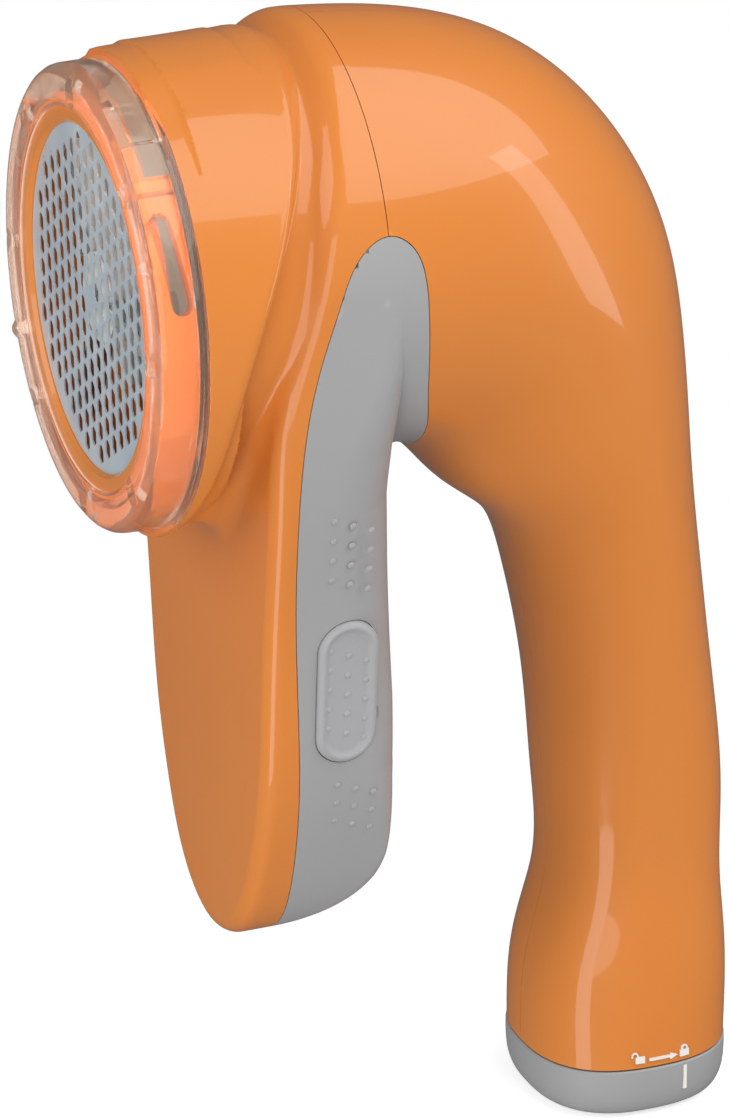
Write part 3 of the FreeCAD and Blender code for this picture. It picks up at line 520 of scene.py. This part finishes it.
def snap_to_edges(shape, p, centres, step):
    """Moves points whose cell holds a crease onto it; returns the points and which ones moved."""
    done = np.zeros(len(p), bool)
    parts = np.abs(np.stack(shape(*p.T)[1]))
    order = np.argsort(parts, axis=0)
    near = (parts < 1.1 * step).sum(0)
    for pick in ((0, 1, 2), (0, 1), (0, 2), (1, 2)):
        if max(pick) >= len(parts):
            continue
        rows = np.where(~done & (near > max(pick)))[0]
        if len(rows) == 0:
            continue
        q, which = p[rows], order[list(pick)][:, rows]
        lane = np.arange(len(rows))
        for _ in range(4):
            slope = slopes(shape, q)[1:]
            value = np.stack(shape(*q.T)[1])
            jac = np.stack([slope[w, lane] for w in which], 1)
            miss = np.stack([value[w, lane] for w in which], 1)
            square = jac @ jac.transpose(0, 2, 1) + 1e-5 * np.eye(len(pick))
            move = -(jac.transpose(0, 2, 1) @ np.linalg.solve(square, miss[:, :, None]))[:, :, 0]
            length = np.linalg.norm(move, axis=1)
            q = q + move * np.minimum(1, step / np.maximum(length, 1e-9))[:, None]
        good = np.abs(shape(*q.T)[0]) < 0.015
        good &= (np.abs(q - centres[rows]) < 0.66 * step).all(1)
        miss = np.abs(np.stack([np.stack(shape(*q.T)[1])[w, lane] for w in which])).max(0)
        good &= miss < 0.02
        p[rows[good]] = q[good]
        done[rows[good]] = True
    return p, done


def relax(shape, p, quads, fixed, step, rounds=2):
    """Evens out the spacing of the points along the surface."""
    for _ in range(rounds):
        total, count = np.zeros_like(p), np.zeros(len(p))
        for a, b in ((0, 1), (1, 2), (2, 3), (3, 0)):
            for i, j in ((a, b), (b, a)):
                np.add.at(total, quads[:, i], p[quads[:, j]])
                np.add.at(count, quads[:, i], 1)
        moved = p + 0.5 * (total / np.maximum(count, 1)[:, None] - p)
        moved[fixed] = p[fixed]
        p = np.where(fixed[:, None], p, settle(shape, moved, step, 1))
    return p


def corner_normals(shape, p, quads, step):
    """Surface normals at the corners of the quads, kept apart across creases."""
    a, b, c, d = (p[quads[:, i]] for i in range(4))
    face = np.cross(c - a, d - b)
    face /= np.maximum(np.linalg.norm(face, axis=1), 1e-12)[:, None]
    smooth = slopes(shape, p)[0]
    smooth /= np.maximum(np.linalg.norm(smooth, axis=1), 1e-9)[:, None]
    normals = smooth[quads]
    off = (normals * face[:, None, :]).sum(2)
    worst = np.ones(len(p))
    np.minimum.at(worst, quads.ravel(), off.ravel())
    crease = worst[quads] < 0.93
    rows, lanes = np.nonzero(crease)
    middle = (a + b + c + d)[rows] / 4
    corner = p[quads[rows, lanes]]
    inward = middle - corner
    inward *= (0.12 * step / np.maximum(np.linalg.norm(inward, axis=1), 1e-9))[:, None]
    probe = slopes(shape, corner + inward, 0.01)[0]
    probe /= np.maximum(np.linalg.norm(probe, axis=1), 1e-9)[:, None]
    agrees = (probe * face[rows]).sum(1) > 0.8
    normals[rows, lanes] = np.where(agrees[:, None], probe, face[rows])
    return normals


def field_piece(name, shape, lo, hi, step):
    """A closed mesh object of the surface of a field."""
    lo = np.array(lo, float) - 1.37 * step
    axes = [np.arange(lo[i], hi[i] + 2.5 * step, step) for i in range(3)]
    values = grid_values(shape, axes)
    p, cells, number = cell_points(values, lo, step)
    quads = cell_quads(values, number)
    centres = lo + (cells + 0.5) * step
    p = settle(shape, p, step)
    p = np.clip(p, centres - 0.75 * step, centres + 0.75 * step)
    p, fixed = snap_to_edges(shape, p, centres, step)
    p = relax(shape, p, quads, fixed, step)
    normals = corner_normals(shape, p, quads, step)
    return quad_object(name, p, quads, normals)


def quad_object(name, p, quads, normals):
    """A mesh object from points in mm, quads and the normals at the quads' corners."""
    mesh = bpy.data.meshes.new(name)
    mesh.vertices.add(len(p))
    mesh.vertices.foreach_set("co", (p * MM).astype(np.float32).ravel())
    mesh.loops.add(quads.size)
    mesh.loops.foreach_set("vertex_index", quads.astype(np.int32).ravel())
    mesh.polygons.add(len(quads))
    mesh.polygons.foreach_set("loop_start", np.arange(0, quads.size, 4, dtype=np.int32))
    mesh.polygons.foreach_set("use_smooth", np.ones(len(quads), bool))
    mesh.update(calc_edges=True)
    mesh.normals_split_custom_set(normals.reshape(-1, 3).astype(np.float32))
    piece = bpy.data.objects.new(name, mesh)
    bpy.context.scene.collection.objects.link(piece)
    return piece


def face_object(name, points, faces, sharp_degrees=32):
    """A mesh object from points in mm and faces of any size, with smooth faces and sharp creases."""
    mesh = bpy.data.meshes.new(name)
    mesh.from_pydata([tuple(co * MM for co in point) for point in points], [], facing_out(points, faces))
    mesh.polygons.foreach_set("use_smooth", np.ones(len(mesh.polygons), bool))
    mesh.validate()
    mesh.set_sharp_from_angle(angle=math.radians(sharp_degrees))
    mesh.update()
    piece = bpy.data.objects.new(name, mesh)
    bpy.context.scene.collection.objects.link(piece)
    return piece


def facing_out(points, faces):
    """The faces, all turned over if the closed surface they make is inside out."""
    points = np.asarray(points, float)
    volume = 0.0
    for face in faces:
        fan = points[list(face)]
        volume += np.einsum("ij,ij->", np.cross(fan[1:-1], fan[2:]), np.broadcast_to(fan[0], fan[1:-1].shape))
    return faces if volume > 0 else [face[::-1] for face in faces]


def ring_faces(rows, columns, closed=True):
    """Quads of a closed band of rows, each a ring of columns; the last row joins the first if closed."""
    faces = []
    for r in range(rows if closed else rows - 1):
        for c in range(columns):
            a, b = r * columns + c, r * columns + (c + 1) % columns
            up = ((r + 1) % rows) * columns
            faces.append((a, b, up + (c + 1) % columns, up + c))
    return faces


# ---- Pieces -----------------------------------------------------------------------------
def add(piece, body, slot, *nodes):
    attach(piece, body)
    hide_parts(*nodes)
    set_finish(piece, slot)
    return piece


def make_front_shell():
    lo, hi = (-42, NECK_FRONT_Y, 42), (42, SEAM_Y, SHELL_TOP_Z)
    piece = field_piece("front_moulding", front_shell_shape, lo, hi, FINE)
    return add(piece, "casing", "orange_shell", "front_shell")


def make_rear_shell(side, name, node):
    lo = (0 if side > 0 else -37, SEAM_Y, CAP_TOP_Z)
    hi = (37 if side > 0 else 0, 22, SHELL_TOP_Z + 0.2)
    piece = field_piece(name, rear_shell_shape_for(side), lo, hi, FINE)
    return add(piece, "casing", "orange_shell", node)


def make_catcher():
    piece = field_piece("lint_catcher_moulding", catcher_shape, (-36.6, -72, 42), (36.6, -40, 175), FINE)
    return add(piece, "catcher", "grey_shell", "lint_catcher")


def make_pad(side, name, node, body):
    lo = (22 if side > 0 else -36, PAD_Y - 6, PAD_Z - 14)
    hi = (36 if side > 0 else -22, PAD_Y + 6, PAD_Z + 14)
    piece = field_piece(name, pad_shape_for(side), lo, hi, 0.4)
    return add(piece, body, "grey_pad", node)


def make_cap():
    """The battery cap: an oval cup with a rounded foot and a round bore."""
    profile = smooth_path([(0.0, 5.2), (0.05, 4.4), (0.35, 3.2), (1.3, 1.6), (3.0, 0.62), (5.2, 0.15),
                           (CAP_TOP_Z - SEAM_GAP - 0.25, 0.0)], 0.35)
    columns = 144
    rows, top = [], CAP_TOP_Z - SEAM_GAP
    angles = [2 * math.pi * c / columns for c in range(columns)]

    def ring(z, inset):
        out = []
        for t in angles:
            c, s = math.cos(t), math.sin(t)
            across, along = abs(c / (CAP_HALF_X - inset)), abs(s / (CAP_HALF_Y - inset))
            q = (across ** CAP_ROUNDNESS + along ** CAP_ROUNDNESS) ** (-1 / CAP_ROUNDNESS)
            out.append((q * c, q * s, z))
        return out

    def bore(z, radius):
        return [(radius * math.cos(t), radius * math.sin(t), z) for t in angles]

    for z, inset in profile:
        rows.append(ring(z, inset))
    rows += [ring(top, 0.25), bore(top, 16.35), bore(top - 0.25, 16.1), bore(2.6, 16.1), bore(2.4, 15.9)]
    points = [p for row in rows for p in row]
    faces = ring_faces(len(rows), columns, closed=False)
    faces.append(tuple(range(columns))[::-1])
    faces.append(tuple(range((len(rows) - 1) * columns, len(rows) * columns)))
    piece = face_object("battery_cap_moulding", points, faces)
    return add(piece, "cap", "grey_shell", "battery_cap")


def guard_profile():
    """The clear guard's section as radius and y: its outside from the rear lip, its nose, and its inside."""
    front, rear = GUARD_FRONT_Y, GUARD_REAR_Y
    inner = NECK_R + 0.12
    outside = [(38.62, rear), (38.6, rear - 0.9), (38.1, rear - 1.35), (38.0, rear - 2.2),
               (37.95, rear - 4.4), (37.9, front + 2.4)]
    nose = [(37.75, front + 1.6), (37.3, front + 0.85), (36.6, front + 0.3), (35.8, front + 0.03),
            (35.0, front), (34.2, front), (33.4, front), (32.7, front + 0.04), (32.0, front + 0.2),
            (31.4, front + 0.5), (31.05, front + 0.9)]
    inside = [(31.15, front + 1.3), (33.0, front + 1.4), (inner, front + 1.6), (inner, front + 3.0),
              (inner, rear - 1.35), (37.75, rear - 1.35), (37.75, rear)]
    return outside, nose, inside


POCKET_PITCH, POCKET_DEPTH, POCKET_R = 45.0, 0.85, 34.1
NUB_DEGREES, NUB_HEIGHT = (25.0, 205.0), 0.8
WINDOW_DEGREES, WINDOW_HALF, WINDOW_RISE = 64.0, 8.2, 0.45


def make_guard():
    """The clear depth guard: a stepped ring with eight drop-shaped pockets, a raised window and two nubs."""
    outside, nose, inside = guard_profile()
    profile = outside + nose + inside
    columns = 576
    points = []
    for index, (r, y) in enumerate(profile):
        on_nose = len(outside) <= index < len(outside) + len(nose)
        for c in range(columns):
            degrees = 360.0 * c / columns
            t = math.radians(degrees)
            turn = (degrees + POCKET_PITCH / 2) % POCKET_PITCH - POCKET_PITCH / 2
            around = math.radians(turn) * 34
            sink, lift = 0.0, 0.0
            if on_nose:
                width = 1.75 - 0.35 * (r - 34.0) / 2
                away = math.hypot(around / max(width, 0.5), (r - POCKET_R) / 2.6)
                sink = POCKET_DEPTH * max(0.0, 1 - away ** 3)
                for nub in NUB_DEGREES:
                    near = math.hypot(math.radians(degrees - nub) * 36.5, (r - 36.4) / 0.9)
                    sink -= NUB_HEIGHT * max(0.0, 1 - (near / 1.5) ** 2)
            if 1 <= index < len(outside) and abs(degrees - WINDOW_DEGREES) < WINDOW_HALF:
                lift = WINDOW_RISE
            reach = r + lift
            points.append((reach * math.cos(t), y + sink, HEAD_Z + reach * math.sin(t)))
    piece = face_object("depth_guard_moulding", points, ring_faces(len(profile), columns))
    return add(piece, "guard", "clear_guard", "depth_guard")


def half_width(z):
    """Half width of the leg at a height."""
    path = smooth_path(LEG_SIDE)[::-1]
    return float(np.interp(z, path[:, 1], path[:, 0]))


def dome(centre, normal, radius, height, sides=10, rings=3):
    """A low closed dome of a few rings; its base is sunk a little under the surface."""
    normal = normal / np.linalg.norm(normal)
    across = np.cross(normal, [0.0, 1.0, 0.0])
    across /= np.linalg.norm(across)
    along = np.cross(normal, across)
    points, faces = [], []
    for ring in range(rings):
        a = math.pi / 2 * ring / rings
        for k in range(sides):
            t = 2 * math.pi * k / sides
            spot = across * math.cos(t) + along * math.sin(t)
            points.append(centre + spot * radius * math.cos(a) + normal * (height * math.sin(a) - 0.1))
    points.append(centre + normal * (height - 0.1))
    for ring in range(rings - 1):
        for k in range(sides):
            a, b = ring * sides + k, ring * sides + (k + 1) % sides
            faces.append((a, b, b + sides, a + sides))
    last = (rings - 1) * sides
    faces += [(last + k, last + (k + 1) % sides, rings * sides) for k in range(sides)]
    faces.append(tuple(range(sides))[::-1])
    return points, faces


def dots(name, side, body, slot, first_y, first_z, columns, rows, rise=0.0):
    """Rows of grip dots on the side of the leg, slightly aslant."""
    points, faces = [], []
    for c in range(columns):
        for r in range(rows):
            y = first_y + 3.2 * c
            z = first_z - 3.55 * r - 0.4 * 3.2 * c
            x = half_width(z)
            slope = (half_width(z + 1) - half_width(z - 1)) / 2
            centre = np.array([side * (x + rise), y, z])
            more, shape_faces = dome(centre, np.array([side, 0.0, -slope]), 0.62, 0.42)
            faces += [tuple(i + len(points) for i in face) for face in shape_faces]
            points += more
    piece = face_object(name, points, faces)
    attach(piece, body)
    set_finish(piece, slot)
    return piece


def soften_knob():
    """Rounds the moulded edges of the switch knob."""
    bevel = frame["nodes"]["switch_knob"].modifiers.new("rounded_edges", "BEVEL")
    bevel.width = 0.3 * MM
    bevel.segments = 3
    bevel.limit_method = "ANGLE"
    bevel.angle_limit = math.radians(40)


def make_dots():
    for side, word in ((1, "left"), (-1, "right")):
        dots("upper_dots_" + word, side, "catcher", "grey_shell", -64.7, 126.8, 3, 4)
        dots("lower_dots_" + word, side, "catcher", "grey_shell", -62.1, 77.9, 3, 3)
        dots("pad_dots_" + word, side, word + "_pad", "grey_pad", -64.4, 103.2, 3, 5, 0.28)


def on_foot(centre_degrees, u, z, lift):
    """A point u mm along the oval wall near the foot of the handle, from a polar angle about +X."""
    t = math.radians(centre_degrees) + u / CAP_HALF_X
    c, s = math.cos(t), math.sin(t)
    across, along = abs(c / CAP_HALF_X), abs(s / CAP_HALF_Y)
    q = (across ** CAP_ROUNDNESS + along ** CAP_ROUNDNESS) ** (-1 / CAP_ROUNDNESS)
    return ((q + lift) * c, (q + lift) * s, z)


def print_mark(name, body, outlines, centre_degrees, centre_z, lift):
    """A thin printed mark: flat outlines in mm, bent round the foot of the handle."""
    points, faces = [], []
    for outline in outlines:
        start, n = len(points), len(outline)
        for depth in (lift, lift - 0.3):
            points += [on_foot(centre_degrees, u, centre_z + v, depth) for u, v in outline]
        half = n // 2
        for i in range(half - 1):
            near = (start + i, start + i + 1, start + n - 2 - i, start + n - 1 - i)
            faces += [near, tuple(k + n for k in near[::-1])]
        for i in range(n):
            j = (i + 1) % n
            faces.append((start + i, start + i + n, start + j + n, start + j))
    piece = face_object(name, points, faces)
    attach(piece, body)
    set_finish(piece, "white_plastic")


def bar_outline(x0, x1, half_height, steps=8):
    """A level bar as an outline whose two long sides pair up point by point."""
    across = [x0 + (x1 - x0) * i / steps for i in range(steps + 1)]
    return [(u, -half_height) for u in across] + [(u, half_height) for u in across[::-1]]


def shackle_outline(x, v):
    """A half ring on two short legs."""
    def bow(radius):
        turns = [math.pi * i / 8 for i in range(9)]
        arc = [(x + radius * math.cos(t), v + 0.35 + radius * math.sin(t)) for t in turns]
        return [(x + radius, v)] + arc + [(x - radius, v)]

    return bow(0.62) + bow(0.36)[::-1]


PRINT_RISE = 0.05                               # thickness of a printed mark above the wall
LOCK_DEGREES, UNLOCK_DEGREES, ARROW_DEGREES, INDEX_DEGREES = 15.0, -10.75, -5.6, 15.5
LOCK_Z, UNLOCK_Z, ARROW_Z, INDEX_Z = 12.0, 12.2, 11.6, 6.9


def make_marks():
    """Generic lock marks and an arrow on the handle, and the index line on the cap."""
    body = [(-0.85, -1.0), (0.85, -1.0), (0.85, 0.25), (-0.85, 0.25)]
    head = [(4.0, -0.62), (5.36, 0.0), (5.36, 0.0), (4.0, 0.62)]
    print_mark("lock_mark", "casing", [body, shackle_outline(0, 0.2)], LOCK_DEGREES, LOCK_Z, PRINT_RISE)
    unlocked = [body, shackle_outline(-0.95, 0.2)]
    print_mark("unlock_mark", "casing", unlocked, UNLOCK_DEGREES, UNLOCK_Z, PRINT_RISE)
    arrow = [bar_outline(0, 4.05, 0.24), head]
    print_mark("turn_arrow", "casing", arrow, ARROW_DEGREES, ARROW_Z, PRINT_RISE)
    line = [(-0.32, -2.3), (0.32, -2.3), (0.32, 2.3), (-0.32, 2.3)]
    print_mark("index_line", "cap", [line], INDEX_DEGREES, INDEX_Z, PRINT_RISE - 0.01)


# ---- Materials --------------------------------------------------------------------------
def new_material(name):
    material = bpy.data.materials.new(name)
    material.use_nodes = True
    nodes = material.node_tree.nodes
    return material, nodes, material.node_tree.links, nodes["Principled BSDF"]


def linear(colour):
    """sRGB 0-255 to linear."""
    out = []
    for value in colour:
        value /= 255
        out.append(value / 12.92 if value <= 0.04045 else ((value + 0.055) / 1.055) ** 2.4)
    return tuple(out) + (1.0,)


def noise(nodes, links, scale, detail=3.0, roughness=0.5):
    """A noise texture in object space, where 1 is a metre."""
    place = nodes.new("ShaderNodeTexCoord")
    texture = nodes.new("ShaderNodeTexNoise")
    texture.inputs["Scale"].default_value = scale
    texture.inputs["Detail"].default_value = detail
    texture.inputs["Roughness"].default_value = roughness
    links.new(place.outputs["Object"], texture.inputs["Vector"])
    return texture.outputs["Fac"]


def spread(nodes, links, value, low, high, start=0.3, end=0.7):
    """Maps a value between start and end onto low and high."""
    node = nodes.new("ShaderNodeMapRange")
    node.inputs["From Min"].default_value = start
    node.inputs["From Max"].default_value = end
    node.inputs["To Min"].default_value = low
    node.inputs["To Max"].default_value = high
    links.new(value, node.inputs["Value"])
    return node.outputs["Result"]


def math_node(nodes, links, operation, *values):
    """The result of a maths node, or the length of a vector."""
    if operation == "LENGTH":
        node = nodes.new("ShaderNodeVectorMath")
    else:
        node = nodes.new("ShaderNodeMath")
    node.operation = operation
    for i, value in enumerate(values):
        links.new(value, node.inputs[i])
    return node.outputs["Value"]


def blend_colours(nodes, links, factor, first, second):
    node = nodes.new("ShaderNodeMix")
    node.data_type = "RGBA"
    node.inputs["A"].default_value = linear(first)
    node.inputs["B"].default_value = linear(second)
    links.new(factor, node.inputs["Factor"])
    return node.outputs["Result"]


def moulded(name, colour, tint, rough, coat=0.0, grain=900.0, bump=0.02, specular=0.5):
    """Moulded plastic: slow colour drift, uneven gloss, fine grain and a paler colour on sharp outer edges.
    """
    material, nodes, links, bsdf = new_material(name)
    drift = noise(nodes, links, 14.0)
    base = blend_colours(nodes, links, spread(nodes, links, drift, 0, 1), colour, tint)
    edge = nodes.new("ShaderNodeNewGeometry")
    # sharp outer edges, where pointiness is high, take a paler colour
    sharp_edge_pale = spread(nodes, links, edge.outputs["Pointiness"], 0.0, 0.35, 0.56, 0.66)
    mix = nodes.new("ShaderNodeMix")
    mix.data_type = "RGBA"
    links.new(sharp_edge_pale, mix.inputs["Factor"])
    links.new(base, mix.inputs["A"])
    mix.inputs["B"].default_value = linear([min(255, v * 1.12 + 12) for v in colour])
    links.new(mix.outputs["Result"], bsdf.inputs["Base Color"])
    smear = noise(nodes, links, 45.0, 4.0)
    links.new(spread(nodes, links, smear, rough * 0.85, rough * 1.2), bsdf.inputs["Roughness"])
    fine = noise(nodes, links, grain, 2.0)
    lift = nodes.new("ShaderNodeBump")
    lift.inputs["Strength"].default_value = bump
    lift.inputs["Distance"].default_value = 0.0004
    links.new(fine, lift.inputs["Height"])
    links.new(lift.outputs["Normal"], bsdf.inputs["Normal"])
    bsdf.inputs["Specular IOR Level"].default_value = specular
    bsdf.inputs["Coat Weight"].default_value = coat
    bsdf.inputs["Coat Roughness"].default_value = 0.05
    return material


def metal(name, colour, tint, rough, grain=1500.0, bump=0.05, metallic=1.0):
    """Worked metal: fine grain, stains and uneven polish."""
    material, nodes, links, bsdf = new_material(name)
    drift = noise(nodes, links, 60.0, 5.0)
    base = blend_colours(nodes, links, spread(nodes, links, drift, 0, 1), colour, tint)
    links.new(base, bsdf.inputs["Base Color"])
    bsdf.inputs["Metallic"].default_value = metallic
    polish = noise(nodes, links, 200.0, 4.0)
    links.new(spread(nodes, links, polish, rough * 0.7, rough * 1.3), bsdf.inputs["Roughness"])
    lift = nodes.new("ShaderNodeBump")
    lift.inputs["Strength"].default_value = bump
    lift.inputs["Distance"].default_value = 0.0002
    links.new(noise(nodes, links, grain, 2.0), lift.inputs["Height"])
    links.new(lift.outputs["Normal"], bsdf.inputs["Normal"])
    return material


def clear_plastic(name, colour, tint):
    """Clear tinted plastic that lets light through to what it covers."""
    material, nodes, links, bsdf = new_material(name)
    drift = noise(nodes, links, 30.0)
    base = blend_colours(nodes, links, spread(nodes, links, drift, 0, 1), colour, tint)
    links.new(base, bsdf.inputs["Base Color"])
    links.new(spread(nodes, links, noise(nodes, links, 120.0), 0.02, 0.07), bsdf.inputs["Roughness"])
    bsdf.inputs["Transmission Weight"].default_value = 0.95
    bsdf.inputs["IOR"].default_value = 1.42
    lift = nodes.new("ShaderNodeBump")
    lift.inputs["Strength"].default_value = 0.06
    lift.inputs["Distance"].default_value = 0.001
    links.new(noise(nodes, links, 160.0, 1.0), lift.inputs["Height"])
    links.new(lift.outputs["Normal"], bsdf.inputs["Normal"])
    clear = nodes.new("ShaderNodeBsdfTransparent")
    clear.inputs["Color"].default_value = linear(colour)
    path = nodes.new("ShaderNodeLightPath")
    straight = nodes.new("ShaderNodeMath")
    straight.operation = "MAXIMUM"
    straight.inputs[1].default_value = 0.2
    links.new(path.outputs["Is Shadow Ray"], straight.inputs[0])
    mix = nodes.new("ShaderNodeMixShader")
    links.new(straight.outputs["Value"], mix.inputs["Fac"])
    links.new(bsdf.outputs["BSDF"], mix.inputs[1])
    links.new(clear.outputs["BSDF"], mix.inputs[2])
    links.new(mix.outputs["Shader"], nodes["Material Output"].inputs["Surface"])
    return material


MATERIALS = {
    "orange_shell": moulded("orange_shell", (214, 127, 55), (219, 133, 61), 0.34, coat=0.6, specular=0.22),
    "grey_shell": moulded("grey_shell", (157, 157, 158), (162, 162, 163), 0.42),
    "grey_pad": moulded("grey_pad", (162, 162, 164), (168, 168, 170), 0.5),
    "clear_guard": clear_plastic("clear_guard", (255, 236, 220), (255, 241, 228)),
    "foil_steel": metal("foil_steel", (222, 234, 242), (204, 218, 228), 0.36, metallic=0.5),
    "steel": metal("steel", (190, 192, 196), (165, 168, 172), 0.3),
    "zinc_can": metal("zinc_can", (168, 172, 176), (140, 146, 152), 0.42),
    "black_plastic": moulded("black_plastic", (36, 37, 40), (44, 45, 48), 0.45),
    "white_plastic": moulded("white_plastic", (226, 224, 216), (214, 212, 204), 0.4),
    "copper": metal("copper", (196, 118, 76), (170, 92, 56), 0.3),
    "brass": metal("brass", (206, 176, 104), (184, 150, 84), 0.3),
    "ferrite": moulded("ferrite", (58, 56, 56), (70, 68, 66), 0.7, bump=0.3),
    "black_rubber": moulded("black_rubber", (28, 28, 30), (36, 36, 38), 0.75, bump=0.2),
    "cell_jacket": moulded("cell_jacket", (52, 92, 74), (44, 80, 64), 0.25, coat=0.4),
    "red_insulation": moulded("red_insulation", (176, 34, 30), (160, 28, 26), 0.4),
    "black_insulation": moulded("black_insulation", (30, 30, 32), (38, 38, 40), 0.4),
    "knob_plastic": moulded("knob_plastic", (150, 150, 152), (158, 158, 160), 0.45),
}


def paint(piece, slot):
    piece.data.materials.clear()
    piece.data.materials.append(MATERIALS[slot])


def finish_nodes():
    """Every carried-over CAD node takes the material of the slot that the record gives it."""
    for node, piece in frame["nodes"].items():
        for i, old in enumerate(piece.data.materials):
            name = old.name.split(".")[0]
            if name in MATERIALS:
                piece.data.materials[i] = MATERIALS[name]
            else:
                print("node", node, "keeps", old.name)


# ---- Stage ------------------------------------------------------------------------------
AZIMUTH, ELEVATION, ROLL = 68.41, 21.74, -0.71
CAMERA_DISTANCE = 0.85
AIM = Vector((0, -0.04628, 0.10517))


def make_stage():
    """A pale floor: white round the foot, fading into the white room. Reflections see past it."""
    sides, radius = 96, 0.62
    points = [(radius * math.cos(2 * math.pi * k / sides), radius * math.sin(2 * math.pi * k / sides), 0)
              for k in range(sides)]
    mesh = bpy.data.meshes.new("floor")
    mesh.from_pydata(points, [], [tuple(range(sides))])
    floor = bpy.data.objects.new("floor", mesh)
    bpy.context.scene.collection.objects.link(floor)
    material, nodes, links, bsdf = new_material("floor")
    bsdf.inputs["Base Color"].default_value = (0.8, 0.8, 0.8, 1)
    bsdf.inputs["Roughness"].default_value = 0.9
    bsdf.inputs["Specular IOR Level"].default_value = 0.1
    bsdf.inputs["Emission Color"].default_value = (1, 1, 1, 1)
    bsdf.inputs["Emission Strength"].default_value = 0.62
    path = nodes.new("ShaderNodeLightPath")
    dim = nodes.new("ShaderNodeBsdfDiffuse")
    dim.inputs["Color"].default_value = (0.55, 0.55, 0.55, 1)
    opaque = nodes.new("ShaderNodeMixShader")
    links.new(path.outputs["Is Camera Ray"], opaque.inputs["Fac"])
    links.new(dim.outputs["BSDF"], opaque.inputs[1])
    links.new(bsdf.outputs["BSDF"], opaque.inputs[2])
    place = nodes.new("ShaderNodeNewGeometry")
    reach = math_node(nodes, links, "LENGTH", place.outputs["Position"])
    near = spread(nodes, links, reach, 1, 0, 0.025, 0.045)
    seen = math_node(nodes, links, "MULTIPLY", path.outputs["Is Camera Ray"], near)
    solid = math_node(nodes, links, "MAXIMUM", seen, path.outputs["Is Diffuse Ray"])
    clear = nodes.new("ShaderNodeBsdfTransparent")
    mix = nodes.new("ShaderNodeMixShader")
    links.new(solid, mix.inputs["Fac"])
    links.new(clear.outputs["BSDF"], mix.inputs[1])
    links.new(opaque.outputs["Shader"], mix.inputs[2])
    links.new(mix.outputs["Shader"], nodes["Material Output"].inputs["Surface"])
    mesh.materials.append(material)


def direction(azimuth, elevation):
    a, e = math.radians(azimuth), math.radians(elevation)
    return Vector((math.sin(a) * math.cos(e), -math.cos(a) * math.cos(e), math.sin(e)))


def make_camera():
    data = bpy.data.cameras.new("camera")
    data.sensor_width = 36.0
    data.lens = 164.07
    camera = bpy.data.objects.new("camera", data)
    bpy.context.scene.collection.objects.link(camera)
    back = direction(AZIMUTH, ELEVATION)
    turn = (-back).to_track_quat("-Z", "Y").to_matrix() @ Matrix.Rotation(math.radians(ROLL), 3, "Z")
    camera.matrix_world = Matrix.LocRotScale(AIM + back * CAMERA_DISTANCE, turn.to_quaternion(), None)
    data.clip_start, data.clip_end = 0.05, 30
    bpy.context.scene.camera = camera


def make_light(name, azimuth, elevation, distance, size, power):
    data = bpy.data.lights.new(name, "AREA")
    data.shape = "RECTANGLE"
    data.size, data.size_y = size
    data.energy = power
    light = bpy.data.objects.new(name, data)
    bpy.context.scene.collection.objects.link(light)
    back = direction(azimuth, elevation)
    light.location = AIM + back * distance
    light.rotation_mode = "QUATERNION"
    light.rotation_quaternion = back.to_track_quat("Z", "Y")


def make_world():
    """White to the camera and through clear parts, a soft grey room to everything else."""
    world = bpy.data.worlds.new("studio")
    bpy.context.scene.world = world
    world.use_nodes = True
    nodes, links = world.node_tree.nodes, world.node_tree.links
    path = nodes.new("ShaderNodeLightPath")
    room = nodes["Background"]
    room.inputs["Color"].default_value = (1, 1, 1, 1)
    links.new(spread(nodes, links, path.outputs["Is Glossy Ray"], 0.36, 0.12, 0, 1), room.inputs["Strength"])
    seen = nodes.new("ShaderNodeBackground")
    seen.inputs["Strength"].default_value = 1.0
    seen.inputs["Color"].default_value = (1, 1, 1, 1)
    mix = nodes.new("ShaderNodeMixShader")
    through = nodes.new("ShaderNodeMath")
    through.operation = "MAXIMUM"
    links.new(path.outputs["Is Camera Ray"], through.inputs[0])
    links.new(path.outputs["Is Transmission Ray"], through.inputs[1])
    links.new(through.outputs["Value"], mix.inputs["Fac"])
    links.new(room.outputs["Background"], mix.inputs[1])
    links.new(seen.outputs["Background"], mix.inputs[2])
    links.new(mix.outputs["Shader"], nodes["World Output"].inputs["Surface"])


# Soft lights: name, azimuth, elevation, distance in metres, size in metres, power in watts.
LIGHTS = [
    ("overhead", 140, 58, 0.8, (0.8, 0.8), 5.1),
    ("front", 5, 25, 0.9, (0.5, 0.7), 3.0),
    ("right", 150, 12, 0.9, (0.18, 0.9), 1.6),
    ("fill", 62, 6, 0.8, (0.4, 0.6), 1.7),
    ("sweep", 38, -19, 0.7, (0.26, 0.5), 1.3),
]


def make_lights():
    make_world()
    for light in LIGHTS:
        make_light(*light)


def main():
    make_front_shell()
    make_rear_shell(1, "rear_moulding_left", "left_rear_shell")
    make_rear_shell(-1, "rear_moulding_right", "right_rear_shell")
    make_catcher()
    make_pad(1, "left_pad_moulding", "left_squeeze_pad", "left_pad")
    make_pad(-1, "right_pad_moulding", "right_squeeze_pad", "right_pad")
    make_cap()
    make_guard()
    make_dots()
    make_marks()
    soften_knob()
    for piece in list(bpy.context.scene.objects):
        if piece.type == "MESH" and "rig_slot" in piece:
            paint(piece, piece["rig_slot"])
    finish_nodes()
    make_camera()
    make_lights()
    make_stage()
    bpy.context.scene.view_settings.view_transform = "Standard"


main()
